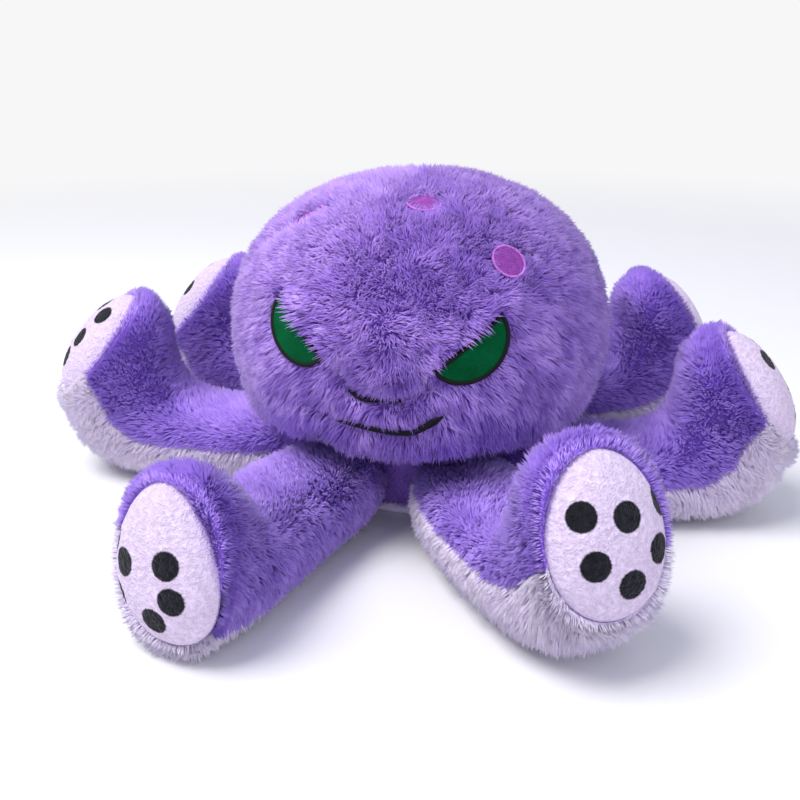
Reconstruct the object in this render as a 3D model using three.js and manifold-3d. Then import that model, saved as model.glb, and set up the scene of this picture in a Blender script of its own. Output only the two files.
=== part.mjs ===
// A plush octopus: a stuffed head of long-pile fur on a flat base, with six curled arms that end in pads.
// Millimetres, +Z up. The origin is the centre of the base's flat underside, and the face looks along -Y.
// Azimuths are degrees from the face towards +X, and left and right are as seen from the front.
import * as THREE from "three";
import { mergeVertices } from "three/addons/utils/BufferGeometryUtils.js";
import Module from "manifold-3d";

const wasm = await Module();
wasm.setup();

// Clearances
const seamGap = 0.3; // between any two sewn pieces
const cutOverrun = 5; // how far a cutting solid runs past what it cuts
const weldDistance = 1e-4; // points closer than this are one

// Head: an oblate stuffed ball whose surface is the tips of the fur
const headRadius = 105;
const headHalfHeight = 85;
const headCentreHeight = 97.5;
const headFur = 9; // cloth and pile
const headRoundness = 2.25; // exponent of the head's outline, 2 for an ellipse
const headSweepShare = 0.72; // of the half turn from the crown down that the outline's points cover
const headSegments = 24;
const headSteps = 9;
const meetingHalvings = 30;

// Base: the short stem under the head that the arms are sewn round
const stemRadius = 48.7;
const stemWall = 4;
const basePanelThickness = 6;

// Arm roots: each arm swings about a level line inside its rounded root
const rootRadius = 23;
const hingeRadius = stemRadius + rootRadius + seamGap;
const hingeHeight = 24;
const rootEndHalfHeight = 3;
const rootEndHalfWidth = 16;
const rootRiseShares = [0.7, 0.93]; // of the root's radius, for the sections between its end and its hinge
const rootWidthShares = [0, 0.45, 0.65, 0.8]; // from the root's end width to the leg's
const rootClothShares = [0, 0.4, 0.75]; // from the root's thin cloth to the leg's fur
const armRaiseDeg = 20;
const rootHeadroom = 0.5; // between the root's top and the head's underside

// Arms, with their lengths measured outwards from the hinge
const legTopHeight = 47;
const legHalfWidth = 34;
const legShoulder = 23; // to where the leg is at full size
const legBendStart = 8; // to where the leg starts to turn sideways
const legBendLength = 45;
const legTopLength = 48; // to where the leg's top starts to curl up
const legBottomLength = 70;
const armReach = 128; // to the centre of the pad of the arm that reaches furthest
const soleHeight = 80; // of the centre of a pad that is held high
const instepRise = 1; // how far the instep's lowest point stands over the leg's top
const curlShares = [0.38, 0.72]; // of the way round the curl, for the sections between the leg and the boot
const bootHalfWidth = 31;
const instepDrop = 29; // from the sole's top end down to the instep
const instepDepth = 35; // from the sole's plane back to the instep
const toeDepth = 20;
const toeBulge = 5;
const toeCrown = 9;
const toeCrownDepth = 8;
const heelBulge = 13;
const heelDepth = 12;
const heelUnderreach = 6; // from the heel's back to where the underside's curl is drawn
const soleTurnShare = 0.8; // of the heel's bulge, where the fur turns in to the sole
const soleTurnDepth = 4.8;
const soleRim = 2; // the fur's rim round the pad
const furThickness = 8;
const rootClothThickness = 2;
const armRoundness = 2.4;
const topFurColumns = 10;
const undersideColumns = 5;
const sideSeamDeg = 91; // where the side seam lies, from the top round to the underside

// Pads
const padLength = 68;
const padWidth = 52;
const padThickness = 4;
const padCrown = 7;
const padSteps = 14;
const padRingShares = [1, 0.62];

// Eyes: felt half-moons with a stitched border, sunk in the fur
const eyeLength = 43;
const eyeHeight = 19;
const eyeBorder = 2;
const eyeThickness = 2;
const eyeSunk = 4;
const eyeCurveSteps = 12;
const eyes = [
  { name: "left", azimuth: -29.5, elevation: 10, slant: -40 },
  { name: "right", azimuth: 26, elevation: 6.9, slant: 37 },
];

// Crown spots: stitched discs with a satin rim
const spotRadius = 9;
const spotRim = 1.5;
const spotThickness = 1.6;
const spotSunk = 2.5;
const spotSteps = 16;
const spots = [
  { name: "left", azimuth: -56, elevation: 54 },
  { name: "centre", azimuth: 12.3, elevation: 67 },
  { name: "right", azimuth: 40.4, elevation: 38 },
];

// Mouth: two stitched lines, each a list of [azimuth, elevation] in degrees
const mouthLineRadius = 1.5;
const mouthLineSunk = 0.8;
const mouthSteps = 10;
const mouthSides = 6;
const mouthLines = [
  { name: "lower", points: [[-13, -12.4], [-5, -14.2], [4, -14.9], [10.5, -12.3], [15.8, -7.7]] },
  { name: "upper", points: [[-9.9, -2.3], [-5.5, -4.4], [0, -3.9], [4.9, -3.9]] },
];

// Each arm, angles in degrees: the way its root points, how far its leg turns sideways and its boot turns
// further, its side seams' roll round the leg, and its pad's place and backward tilt, seen from the side.
const arms = [
  { name: "front_left", root: -30, bend: 16, yaw: -2, roll: 26,
    reachShare: 0.961, heightShare: 0.5375, padTilt: 13 },
  { name: "front_right", root: 30, bend: 6, yaw: -7, roll: 0,
    reachShare: 0.898, heightShare: 0.8, padTilt: 22 },
  { name: "middle_left", root: -84, bend: -4, yaw: 28, roll: 0,
    reachShare: 0.922, heightShare: 0.975, padTilt: 42 },
  { name: "middle_right", root: 82, bend: 16, yaw: -18, roll: 0,
    reachShare: 0.875, heightShare: 0.9125, padTilt: 36 },
  { name: "back_left", root: -137, bend: 38, yaw: 20, roll: 0,
    reachShare: 1, heightShare: 0.975, padTilt: 40 },
  { name: "back_right", root: 140, bend: -24, yaw: 0, roll: 0,
    reachShare: 0.969, heightShare: 0.925, padTilt: 32 },
];

const purpleFur = { color: 0x7d57c2, roughness: 0.95, metalness: 0 };
const headPurpleFur = { color: 0x8a68cc, roughness: 0.95, metalness: 0 };
const lavenderFur = { color: 0xc9b6dd, roughness: 0.95, metalness: 0 };
const padVelour = { color: 0xe3cdea, roughness: 0.9, metalness: 0 };
const greenFelt = { color: 0x0a6b3c, roughness: 0.85, metalness: 0 };
const blackThread = { color: 0x16131a, roughness: 0.6, metalness: 0 };
const magentaThread = { color: 0xb65bd0, roughness: 0.55, metalness: 0 };
const pinkThread = { color: 0xd27be0, roughness: 0.45, metalness: 0 };
const whiteStuffing = { color: 0xf2f0ec, roughness: 1, metalness: 0 };

const octopus = new THREE.Group();
const { cos, sin, sqrt, abs, sign, PI } = Math;
const radians = THREE.MathUtils.degToRad;

function addMesh(name, geometry, look) {
  const mesh = new THREE.Mesh(geometry, new THREE.MeshStandardMaterial(look));
  mesh.name = name;
  octopus.add(mesh);
  return mesh;
}

// Solids for cutting and joining
function toSolid(geometry) {
  const bare = geometry.clone();
  for (const extra of ["normal", "uv"]) bare.deleteAttribute(extra);
  const merged = mergeVertices(bare, weldDistance);
  const triVerts = new Uint32Array(merged.index.array);
  const vertProperties = new Float32Array(merged.attributes.position.array);
  return new wasm.Manifold(new wasm.Mesh({ numProp: 3, vertProperties, triVerts }));
}

function toGeometry(solid) {
  const mesh = solid.getMesh();
  const positions = new Float32Array(mesh.numVert * 3);
  for (let i = 0; i < mesh.numVert; i += 1) {
    positions.set(mesh.vertProperties.subarray(i * mesh.numProp, i * mesh.numProp + 3), i * 3);
  }
  const geometry = new THREE.BufferGeometry();
  geometry.setAttribute("position", new THREE.BufferAttribute(positions, 3));
  geometry.setIndex(new THREE.BufferAttribute(mesh.triVerts, 1));
  return geometry;
}

// A closed surface from a grid of rows, each row a loop of points, with a fan over each end.
function closeRows(rows) {
  const count = rows[0].length;
  const positions = rows.flat();
  const faces = [];
  for (let i = 0; i + 1 < rows.length; i += 1) {
    for (let j = 0; j < count; j += 1) {
      const a = i * count + j;
      const b = i * count + ((j + 1) % count);
      faces.push(a, b + count, b, a, a + count, b + count);
    }
  }
  const first = positions.length;
  positions.push(middleOf(rows[0]), middleOf(rows[rows.length - 1]));
  const lastRow = (rows.length - 1) * count;
  for (let j = 0; j < count; j += 1) {
    const next = (j + 1) % count;
    faces.push(first, j, next, first + 1, lastRow + next, lastRow + j);
  }
  return indexed(positions, faces);
}

function middleOf(points) {
  const sum = points.reduce((total, p) => total.add(p), new THREE.Vector3());
  return sum.divideScalar(points.length);
}

function indexed(points, faces) {
  const geometry = new THREE.BufferGeometry().setFromPoints(points);
  geometry.setIndex(faces);
  return geometry;
}

// A sheet of cloth with thickness: an outer and an inner grid of the same size, joined round their edges.
function closeSheet(outer, inner) {
  const rows = outer.length;
  const columns = outer[0].length;
  const points = [...outer.flat(), ...inner.flat()];
  const under = rows * columns;
  const faces = [];
  const quad = (a, b, c, d) => faces.push(a, c, b, a, d, c);
  for (let i = 0; i + 1 < rows; i += 1) {
    for (let j = 0; j + 1 < columns; j += 1) {
      const a = i * columns + j;
      quad(a, a + 1, a + 1 + columns, a + columns);
      quad(under + a, under + a + columns, under + a + 1 + columns, under + a + 1);
    }
    const left = i * columns;
    const right = left + columns - 1;
    quad(left, left + columns, under + left + columns, under + left);
    quad(right, under + right, under + right + columns, right + columns);
  }
  const lastRow = (rows - 1) * columns;
  for (let j = 0; j + 1 < columns; j += 1) {
    quad(j, under + j, under + j + 1, j + 1);
    quad(lastRow + j, lastRow + j + 1, under + lastRow + j + 1, under + lastRow + j);
  }
  return indexed(points, faces);
}

// Head

const softPower = (value, roundness) => sign(value) * abs(value) ** (2 / roundness);

// The head's outline at an elevation, drawn in from the fur's tips by depth.
function headOutline(elevation, depth) {
  const radius = (headRadius - depth) * softPower(cos(elevation), headRoundness);
  const height = (headHalfHeight - depth) * softPower(sin(elevation), headRoundness);
  return new THREE.Vector2(radius, headCentreHeight + height);
}

// The head's underside rises outwards as steeply as an arm can be raised, from where the top of a raised
// arm leaves the flat stretch over its rounded root, so a raised arm just clears it.
function headProfile(depth, stemInset) {
  const raise = radians(armRaiseDeg);
  const riseStart = hingeRadius - rootRadius * Math.tan(raise / 2);
  const ceiling = hingeHeight + rootRadius + rootHeadroom + depth;
  const undersideAt = (radius) => ceiling + Math.tan(raise) * Math.max(0, radius - riseStart);
  const points = [];
  for (let i = 0; i <= headSteps; i += 1) {
    const elevation = PI / 2 - (i / headSteps) * PI * headSweepShare;
    const point = headOutline(elevation, depth);
    if (point.y < undersideAt(point.x)) break;
    points.push(point);
  }
  const meeting = meetUnderside(undersideAt, depth);
  points[0].x = 0;
  points.push(meeting, new THREE.Vector2(riseStart, ceiling));
  points.push(new THREE.Vector2(stemRadius - stemInset, ceiling));
  return points;
}

// Where the head's outline meets its sloping underside, by halving.
function meetUnderside(undersideAt, depth) {
  let high = 0;
  let low = -PI / 2;
  for (let i = 0; i < meetingHalvings; i += 1) {
    const middle = (high + low) / 2;
    const point = headOutline(middle, depth);
    if (point.y > undersideAt(point.x)) high = middle;
    else low = middle;
  }
  return headOutline(high, depth);
}

function headShell() {
  const outer = headProfile(0, 0);
  const inner = headProfile(headFur, stemWall);
  const stemFoot = basePanelThickness + seamGap;
  outer.push(new THREE.Vector2(stemRadius, stemFoot));
  inner.push(new THREE.Vector2(stemRadius - stemWall, stemFoot));
  return lathe([...outer, ...inner.reverse()]);
}

// A lathe profile runs from the top down the outside here, so the list is turned round to face out.
function lathe(profile) {
  const geometry = new THREE.LatheGeometry(profile.toReversed(), headSegments);
  return geometry.rotateX(PI / 2);
}

function headStuffing() {
  const profile = headProfile(headFur + seamGap, stemWall + seamGap);
  const foot = basePanelThickness + seamGap;
  profile.push(new THREE.Vector2(stemRadius - stemWall - seamGap, foot));
  profile.push(new THREE.Vector2(0, foot));
  return lathe(profile);
}

// A place on the head's surface, sunk below it: x runs to the right along the surface, y up it and z out.
function headPlace(azimuthDeg, elevationDeg, sunk, turnDeg) {
  const azimuth = radians(azimuthDeg);
  const outline = headOutline(radians(elevationDeg), 0);
  const rise = outline.y - headCentreHeight;
  const outwards = (outline.x / headRadius) ** (headRoundness - 1) / headRadius;
  const upwards = softSlope(rise / headHalfHeight) / headHalfHeight;
  const steep = Math.atan2(upwards, outwards);
  const out = new THREE.Vector3(sin(azimuth) * cos(steep), -cos(azimuth) * cos(steep), sin(steep));
  const right = new THREE.Vector3(cos(azimuth), sin(azimuth), 0);
  const up = out.clone().cross(right);
  const place = new THREE.Matrix4().makeBasis(right, up, out);
  place.setPosition(
    sin(azimuth) * outline.x - out.x * sunk,
    -cos(azimuth) * outline.x - out.y * sunk,
    outline.y - out.z * sunk,
  );
  return place.multiply(new THREE.Matrix4().makeRotationZ(radians(turnDeg)));
}

const softSlope = (share) => sign(share) * abs(share) ** (headRoundness - 1);

// Eyes, drawn with the slanted upper edge along x and the half-moon hanging below it
function eyeOutline(margin) {
  const shape = new THREE.Shape();
  const halfLength = eyeLength / 2 + margin;
  const depth = eyeHeight + margin;
  const points = [];
  for (let i = 0; i <= eyeCurveSteps; i += 1) {
    const angle = PI + (i / eyeCurveSteps) * PI;
    const y = eyeHeight / 2 + margin + (depth + margin) * sin(angle);
    points.push(new THREE.Vector2(halfLength * cos(angle), y));
  }
  return shape.setFromPoints(points);
}

function plate(shape, thickness) {
  return new THREE.ExtrudeGeometry(shape, { depth: thickness, bevelEnabled: false });
}

function discOutline(radius) {
  const shape = new THREE.Shape();
  const points = [];
  for (let i = 0; i < spotSteps; i += 1) {
    const angle = (i / spotSteps) * 2 * PI;
    points.push(new THREE.Vector2(radius * cos(angle), radius * sin(angle)));
  }
  return shape.setFromPoints(points);
}

// A patch on the head: a plate inside a rim, and the pocket in the fur that they lie in.
function addPatch(names, place, outline, rim, thickness, looks) {
  const inner = outline(-rim - seamGap);
  const rimShape = outline(0);
  rimShape.holes.push(outline(-rim));
  addMesh(names[0], plate(inner, thickness), looks[0]).applyMatrix4(place);
  addMesh(names[1], plate(rimShape, thickness), looks[1]).applyMatrix4(place);
  const pocket = plate(outline(seamGap), thickness + seamGap + headFur + cutOverrun);
  pocket.translate(0, 0, -seamGap);
  return pocket.applyMatrix4(place);
}

function mouthCurve(points) {
  return new THREE.CatmullRomCurve3(
    points.map(([azimuth, elevation]) => {
      const place = headPlace(azimuth, elevation, mouthLineSunk, 0);
      return new THREE.Vector3().setFromMatrixPosition(place);
    }),
  );
}

function tube(curve, radius) {
  const section = new THREE.Shape();
  const points = [];
  for (let i = 0; i < mouthSides; i += 1) {
    const angle = (i / mouthSides) * 2 * PI;
    points.push(new THREE.Vector2(radius * cos(angle), radius * sin(angle)));
  }
  section.setFromPoints(points);
  return new THREE.ExtrudeGeometry(section, { steps: mouthSteps, extrudePath: curve });
}

function addHead() {
  const pockets = [];
  for (const eye of eyes) {
    const place = headPlace(eye.azimuth, eye.elevation, eyeSunk + eyeThickness, eye.slant);
    const names = [`eye_${eye.name}_felt`, `eye_${eye.name}_border`];
    pockets.push(addPatch(names, place, eyeOutline, eyeBorder, eyeThickness, [greenFelt, blackThread]));
  }
  for (const spot of spots) {
    const place = headPlace(spot.azimuth, spot.elevation, spotSunk + spotThickness, 0);
    const names = [`crown_spot_${spot.name}`, `crown_spot_${spot.name}_rim`];
    const outline = (margin) => discOutline(spotRadius + margin);
    pockets.push(addPatch(names, place, outline, spotRim, spotThickness, [magentaThread, pinkThread]));
  }
  for (const line of mouthLines) {
    const curve = mouthCurve(line.points);
    addMesh(`mouth_line_${line.name}`, tube(curve, mouthLineRadius), blackThread);
    pockets.push(tube(longerCurve(curve), mouthLineRadius + seamGap));
  }
  let shell = toSolid(headShell());
  for (const pocket of pockets) shell = shell.subtract(toSolid(pocket));
  const width = 2 * (headRadius + cutOverrun);
  const height = headCentreHeight + headHalfHeight + cutOverrun;
  for (const side of [-1, 1]) {
    const half = new THREE.BoxGeometry(width, width / 2, 2 * height);
    half.translate(0, side * (width / 4 + seamGap / 2), 0);
    const name = side < 0 ? "head_front_fur" : "head_rear_fur";
    addMesh(name, toGeometry(shell.intersect(toSolid(half))), headPurpleFur);
  }
  addMesh("head_stuffing", headStuffing(), whiteStuffing);
  const panel = new THREE.CylinderGeometry(stemRadius, stemRadius, basePanelThickness, headSegments);
  panel.rotateX(PI / 2).translate(0, 0, basePanelThickness / 2);
  addMesh("base_panel", panel, lavenderFur);
}

// The same curve run on a little at both ends, for the groove that a stitched line lies in.
function longerCurve(curve) {
  const points = curve.getPoints(mouthSteps);
  const last = points.length - 1;
  const reach = (end, before) => end.clone().add(end.clone().sub(before).setLength(seamGap));
  return new THREE.CatmullRomCurve3([
    reach(points[0], points[1]),
    ...points,
    reach(points[last], points[last - 1]),
  ]);
}

// Arms

const padReach = (arm) => hingeRadius + armReach * arm.reachShare;
const padHeight = (arm) => soleHeight * arm.heightShare;

// Points along a curve between two ends, drawn towards one corner.
function cornerCurve(from, corner, to, shares) {
  const curve = new THREE.QuadraticBezierCurve(from, corner, to);
  return shares.map((share) => curve.getPoint(share));
}

// The arm seen from the side, root first: each section runs from a point on the arm's top to one on its
// underside, has a half width and a cloth thickness, and bootShare tells how far along the boot it lies.
function armSections(arm) {
  const flat = (x, z) => new THREE.Vector2(x, Math.max(z, 0));
  const tilt = radians(arm.padTilt);
  const sole = (along, back) =>
    flat(
      padReach(arm) - along * sin(tilt) - back * cos(tilt),
      padHeight(arm) + along * cos(tilt) - back * sin(tilt),
    );
  const half = padLength / 2;
  const sections = [];
  const add = (top, bottom, halfWidth, cloth, bootShare) =>
    sections.push({ top, bottom, halfWidth, cloth, bootShare });

  const rootAt = (rise) => hingeRadius - sqrt(rootRadius ** 2 - rise ** 2);
  const rootRises = [rootEndHalfHeight, ...rootRiseShares.map((share) => share * rootRadius)];
  rootRises.forEach((rise, i) => {
    const x = rootAt(rise);
    const width = rootEndHalfWidth + (legHalfWidth - rootEndHalfWidth) * rootWidthShares[i];
    const cloth = rootClothThickness + (furThickness - rootClothThickness) * rootClothShares[i];
    add(flat(x, hingeHeight + rise), flat(x, hingeHeight - rise), width, cloth, 0);
  });
  add(
    flat(hingeRadius, hingeHeight + rootRadius),
    flat(hingeRadius, hingeHeight - rootRadius),
    rootEndHalfWidth + (legHalfWidth - rootEndHalfWidth) * rootWidthShares[3],
    furThickness,
    0,
  );
  add(
    flat(hingeRadius + legShoulder, hingeHeight + rootRadius),
    flat(hingeRadius + legShoulder, 0),
    legHalfWidth,
    furThickness,
    0,
  );

  const topStart = flat(hingeRadius + legTopLength, legTopHeight);
  const bottomStart = flat(hingeRadius + legBottomLength, 0);
  const toeBack = sole(half + toeBulge, toeDepth);
  const heel = sole(-half - heelBulge, heelDepth);
  const instep = sole(half - instepDrop, instepDepth);
  const topCorner = flat(Math.min(instep.x, toeBack.x), legTopHeight + instepRise);
  const bottomCorner = flat(heel.x - heelUnderreach, 0);
  const tops = cornerCurve(topStart, topCorner, toeBack, curlShares);
  const bottoms = cornerCurve(bottomStart, bottomCorner, heel, curlShares);
  const boot = curlShares.length + 1;
  add(topStart, bottomStart, legHalfWidth, furThickness, 0);
  tops.forEach((top, i) => {
    const share = (i + 1) / boot;
    const width = legHalfWidth + (bootHalfWidth - legHalfWidth) * share;
    add(top, bottoms[i], width, furThickness, share);
  });
  add(toeBack, heel, bootHalfWidth, furThickness, 1);
  const crown = sole(half + toeCrown, toeCrownDepth);
  const underSole = sole(-half - heelBulge * soleTurnShare, soleTurnDepth);
  add(crown, underSole, bootHalfWidth, furThickness, 1);
  add(
    sole(half + soleRim, 0),
    sole(-half - soleRim, 0),
    padWidth / 2 + soleRim,
    furThickness,
    1,
  );
  return sections;
}

// The leg's middle line seen from above, in the root's own axes: x outwards, y towards growing azimuth.
function legPlan(arm, reach) {
  const turn = radians(arm.bend);
  const bendStart = hingeRadius + legBendStart;
  const share = THREE.MathUtils.clamp((reach - bendStart) / legBendLength, 0, 1);
  const heading = turn * share;
  const bendRadius = legBendLength / turn;
  const past = Math.max(0, reach - bendStart - legBendLength);
  const before = Math.min(reach, bendStart);
  return {
    heading,
    x: before + bendRadius * sin(heading) + past * cos(turn),
    y: bendRadius * (1 - cos(heading)) + past * sin(turn),
  };
}

// Turns a point given by its section, its share up the section and its sideways place into the part's frame.
function armPoint(arm, section, upShare, aside, inset) {
  const middle = section.top.clone().add(section.bottom).multiplyScalar(0.5);
  const up = section.top.clone().sub(section.bottom).multiplyScalar(0.5);
  const length = up.length();
  up.setLength((length - inset) * upShare);
  const plan = legPlan(arm, middle.x);
  const heading = plan.heading + radians(arm.yaw) * section.bootShare;
  const x = plan.x + up.x * cos(heading) - aside * sin(heading);
  const y = plan.y + up.x * sin(heading) + aside * cos(heading);
  const root = radians(arm.root);
  const z = Math.max(middle.y + up.y, inset);
  return new THREE.Vector3(x * sin(root) + y * cos(root), -x * cos(root) + y * sin(root), z);
}

// A row of points round a section between two angles, measured from its top towards growing azimuth.
function sectionRow(arm, section, inset, fromAngle, toAngle, steps) {
  const row = [];
  const halfWidth = section.halfWidth - inset;
  for (let i = 0; i <= steps; i += 1) {
    const angle = fromAngle + ((toAngle - fromAngle) * i) / steps;
    const upShare = softPower(cos(angle), armRoundness);
    const aside = halfWidth * softPower(sin(angle), armRoundness);
    row.push(armPoint(arm, section, upShare, aside, inset));
  }
  return row;
}

function armCloth(arm, sections, fromAngle, toAngle, steps) {
  const gapAngle = seamGap / legHalfWidth;
  const from = fromAngle + gapAngle;
  const to = toAngle - gapAngle;
  const outer = sections.map((section) => sectionRow(arm, section, 0, from, to, steps));
  const inner = sections.map((section) => sectionRow(arm, section, section.cloth, from, to, steps));
  return closeSheet(outer, inner);
}

function armStuffing(arm, sections, angles) {
  const rows = sections.map((section) => {
    const inset = section.cloth + seamGap;
    return angles.map((angle) => sectionRow(arm, section, inset, angle, angle, 1)[0]);
  });
  return closeRows(rows);
}

// The pad: a flat back on the sole's rim and a crowned face.
function armPad(arm) {
  const plan = legPlan(arm, padReach(arm));
  const heading = plan.heading + radians(arm.yaw);
  const root = radians(arm.root);
  const tilt = radians(arm.padTilt);
  const point = (angle, share, out) => {
    const up = share * (padLength / 2) * cos(angle);
    const aside = share * (padWidth / 2) * sin(angle);
    const back = out * cos(tilt) - up * sin(tilt);
    const x = plan.x + back * cos(heading) - aside * sin(heading);
    const y = plan.y + back * sin(heading) + aside * cos(heading);
    const z = padHeight(arm) + up * cos(tilt) + out * sin(tilt);
    return new THREE.Vector3(x * sin(root) + y * cos(root), -x * cos(root) + y * sin(root), z);
  };
  const ring = (share, out) => {
    const row = [];
    for (let i = 0; i < padSteps; i += 1) row.push(point((i / padSteps) * 2 * PI, share, out));
    return row;
  };
  const rows = [ring(1, seamGap)];
  for (const share of padRingShares) {
    rows.push(ring(share, seamGap + padThickness + padCrown * (1 - share ** 2)));
  }
  return closeRows(rows);
}

function addArm(arm) {
  const sections = armSections(arm);
  const seam = radians(sideSeamDeg);
  const roll = radians(arm.roll);
  const near = -seam + roll;
  const far = seam + roll;
  const top = armCloth(arm, sections, near, far, topFurColumns);
  const underside = armCloth(arm, sections, far, near + 2 * PI, undersideColumns);
  addMesh(`arm_${arm.name}_top_fur`, top, purpleFur);
  addMesh(`arm_${arm.name}_underside_fur`, underside, lavenderFur);
  const angles = [];
  for (let i = 0; i < topFurColumns; i += 1) angles.push(near + ((far - near) * i) / topFurColumns);
  const rest = 2 * PI - (far - near);
  for (let i = 0; i < undersideColumns; i += 1) angles.push(far + (rest * i) / undersideColumns);
  addMesh(`arm_${arm.name}_stuffing`, armStuffing(arm, sections, angles), whiteStuffing);
  addMesh(`arm_${arm.name}_pad`, armPad(arm), padVelour);
}

addHead();
for (const arm of arms) addArm(arm);

export default octopus;
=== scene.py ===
import math

import bmesh
import bpy
import numpy as np
from mathutils import Matrix, Vector
from mathutils import noise as mathNoise


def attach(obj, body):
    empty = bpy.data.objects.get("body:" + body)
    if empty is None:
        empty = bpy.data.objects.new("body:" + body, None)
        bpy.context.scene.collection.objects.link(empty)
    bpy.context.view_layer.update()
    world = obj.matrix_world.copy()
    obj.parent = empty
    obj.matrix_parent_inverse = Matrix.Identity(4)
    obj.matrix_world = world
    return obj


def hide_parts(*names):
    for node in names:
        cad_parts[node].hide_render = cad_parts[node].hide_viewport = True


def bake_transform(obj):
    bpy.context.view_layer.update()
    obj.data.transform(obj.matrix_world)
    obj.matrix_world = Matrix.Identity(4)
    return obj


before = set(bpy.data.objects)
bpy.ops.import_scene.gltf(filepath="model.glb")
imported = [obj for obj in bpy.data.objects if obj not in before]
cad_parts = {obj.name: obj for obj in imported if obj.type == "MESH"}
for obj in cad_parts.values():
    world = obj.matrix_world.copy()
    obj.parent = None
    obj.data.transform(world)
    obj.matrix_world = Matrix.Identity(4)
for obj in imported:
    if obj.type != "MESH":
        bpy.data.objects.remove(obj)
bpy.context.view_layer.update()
mm = 0.001  # the settings below are in millimetres, and the meshes in metres
seeds = {"head": 11, "arms": 31, "underFur": 50, "eyes": 60, "spots": 70, "mouth": 80, "pads": 91}
print("frame loaded")

# Camera: the photograph's own view
cameraSet = {"lens": 38.97, "place": (78.5, -461.5, 242), "tiltDeg": 67.7, "turnDeg": 11.0}


def makeCamera():
    data = bpy.data.cameras.new("camera")
    data.lens = cameraSet["lens"]
    camera = bpy.data.objects.new("camera", data)
    camera.location = Vector(cameraSet["place"]) * mm
    camera.rotation_euler = (math.radians(cameraSet["tiltDeg"]), 0, math.radians(cameraSet["turnDeg"]))
    bpy.context.scene.collection.objects.link(camera)
    bpy.context.scene.camera = camera


makeCamera()
print("camera made")


# Mesh helpers, all in millimetres until the mesh is made
def meshObject(name, points, faces, materials=()):
    mesh = bpy.data.meshes.new(name)
    mesh.from_pydata((np.asarray(points, float) * mm).tolist(), [], faces)
    mesh.update()
    mesh.polygons.foreach_set("use_smooth", [True] * len(mesh.polygons))
    for material in materials:
        mesh.materials.append(material)
    piece = bpy.data.objects.new(name, mesh)
    bpy.context.scene.collection.objects.link(piece)
    return piece


def gridFaces(rows, columns):
    # a tube of rings, each with the same number of points
    faces = []
    for i in range(rows - 1):
        for j in range(columns):
            a, b = i * columns + j, i * columns + (j + 1) % columns
            faces.append((a, b, b + columns, a + columns))
    return faces


def closedTube(rows, middles=None):
    # points and faces of a tube whose ends are closed by fans, each round a middle point
    count, columns = rows.shape[:2]
    faces = gridFaces(count, columns)
    end, middle = (count - 1) * columns, count * columns
    for j in range(columns):
        k = (j + 1) % columns
        faces.append((k, j, middle))
        faces.append((end + j, end + k, middle + 1))
    if middles is None:
        middles = rows[0].mean(0), rows[-1].mean(0)
    return [*rows.reshape(-1, 3), *middles], faces


def setAttribute(piece, name, values, kind="FLOAT"):
    layer = piece.data.attributes.new(name, kind, "POINT")
    flat = np.asarray(values, np.float32).ravel()
    layer.data.foreach_set("vector" if kind == "FLOAT_VECTOR" else "value", flat)


def facesOutward(piece):
    made = bmesh.new()
    made.from_mesh(piece.data)
    bmesh.ops.recalc_face_normals(made, faces=made.faces)
    made.to_mesh(piece.data)
    made.free()
    piece.data.update()


def vertexNormals(piece):
    normals = np.empty(len(piece.data.vertices) * 3, np.float32)
    piece.data.vertex_normals.foreach_get("vector", normals)
    return normals.reshape(-1, 3).astype(float)


def settle(piece, body, slotName, *nodes):
    # what a finished piece stands for and the body that carries it; the colour slot is not used
    if nodes:
        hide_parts(*nodes)
    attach(piece, body)


# Sums on arrays
def unit(vectors):
    length = np.linalg.norm(vectors, axis=-1, keepdims=True)
    return vectors / np.maximum(length, 1e-9)


def smoothStep(low, high, value):
    share = np.clip((value - low) / (high - low), 0, 1)
    return share * share * (3 - 2 * share)


def bell(value, middle, width, power=2):
    return np.exp(-(((value - middle) / width) ** power))


def eased(a, b, c, d, share):
    # a smooth way from b to c, with a before them and d after
    squared = (2 * a - 5 * b + 4 * c - d) * share**2
    cubed = (3 * b - a - 3 * c + d) * share**3
    return 0.5 * (2 * b + (c - a) * share + squared + cubed)


# Node helpers
def addNode(tree, kind, inputs=None, **settings):
    node = tree.nodes.new(kind)
    for key, value in settings.items():
        setattr(node, key, value)
    for key, value in (inputs or {}).items():
        feed(tree, node.inputs[key], value)
    return node


def feed(tree, socket, value):
    if isinstance(value, bpy.types.NodeSocket):
        tree.links.new(value, socket)
    elif value is not None:
        socket.default_value = value


def sums(tree, operation, *values):
    node = addNode(tree, "ShaderNodeMath", operation=operation)
    for socket, value in zip(node.inputs, values):
        feed(tree, socket, value)
    return node.outputs[0]


def vectorSums(tree, operation, *values):
    node = addNode(tree, "ShaderNodeVectorMath", operation=operation)
    for socket, value in zip(node.inputs, values):
        feed(tree, socket, value)
    return node.outputs["Value" if operation in ("LENGTH", "DOT_PRODUCT") else "Vector"]


def scaled(tree, vector, factor):
    node = addNode(tree, "ShaderNodeVectorMath", operation="SCALE")
    feed(tree, node.inputs[0], vector)
    feed(tree, node.inputs["Scale"], factor)
    return node.outputs[0]


def newTree(name, kind, inputs, outputs):
    tree = bpy.data.node_groups.new(name, kind)
    for label, socketType, value in inputs:
        socket = tree.interface.new_socket(label, in_out="INPUT", socket_type=socketType)
        if value is not None:
            socket.default_value = value
    for label, socketType in outputs:
        tree.interface.new_socket(label, in_out="OUTPUT", socket_type=socketType)
    return tree, tree.nodes.new("NodeGroupInput").outputs, tree.nodes.new("NodeGroupOutput").inputs


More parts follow.
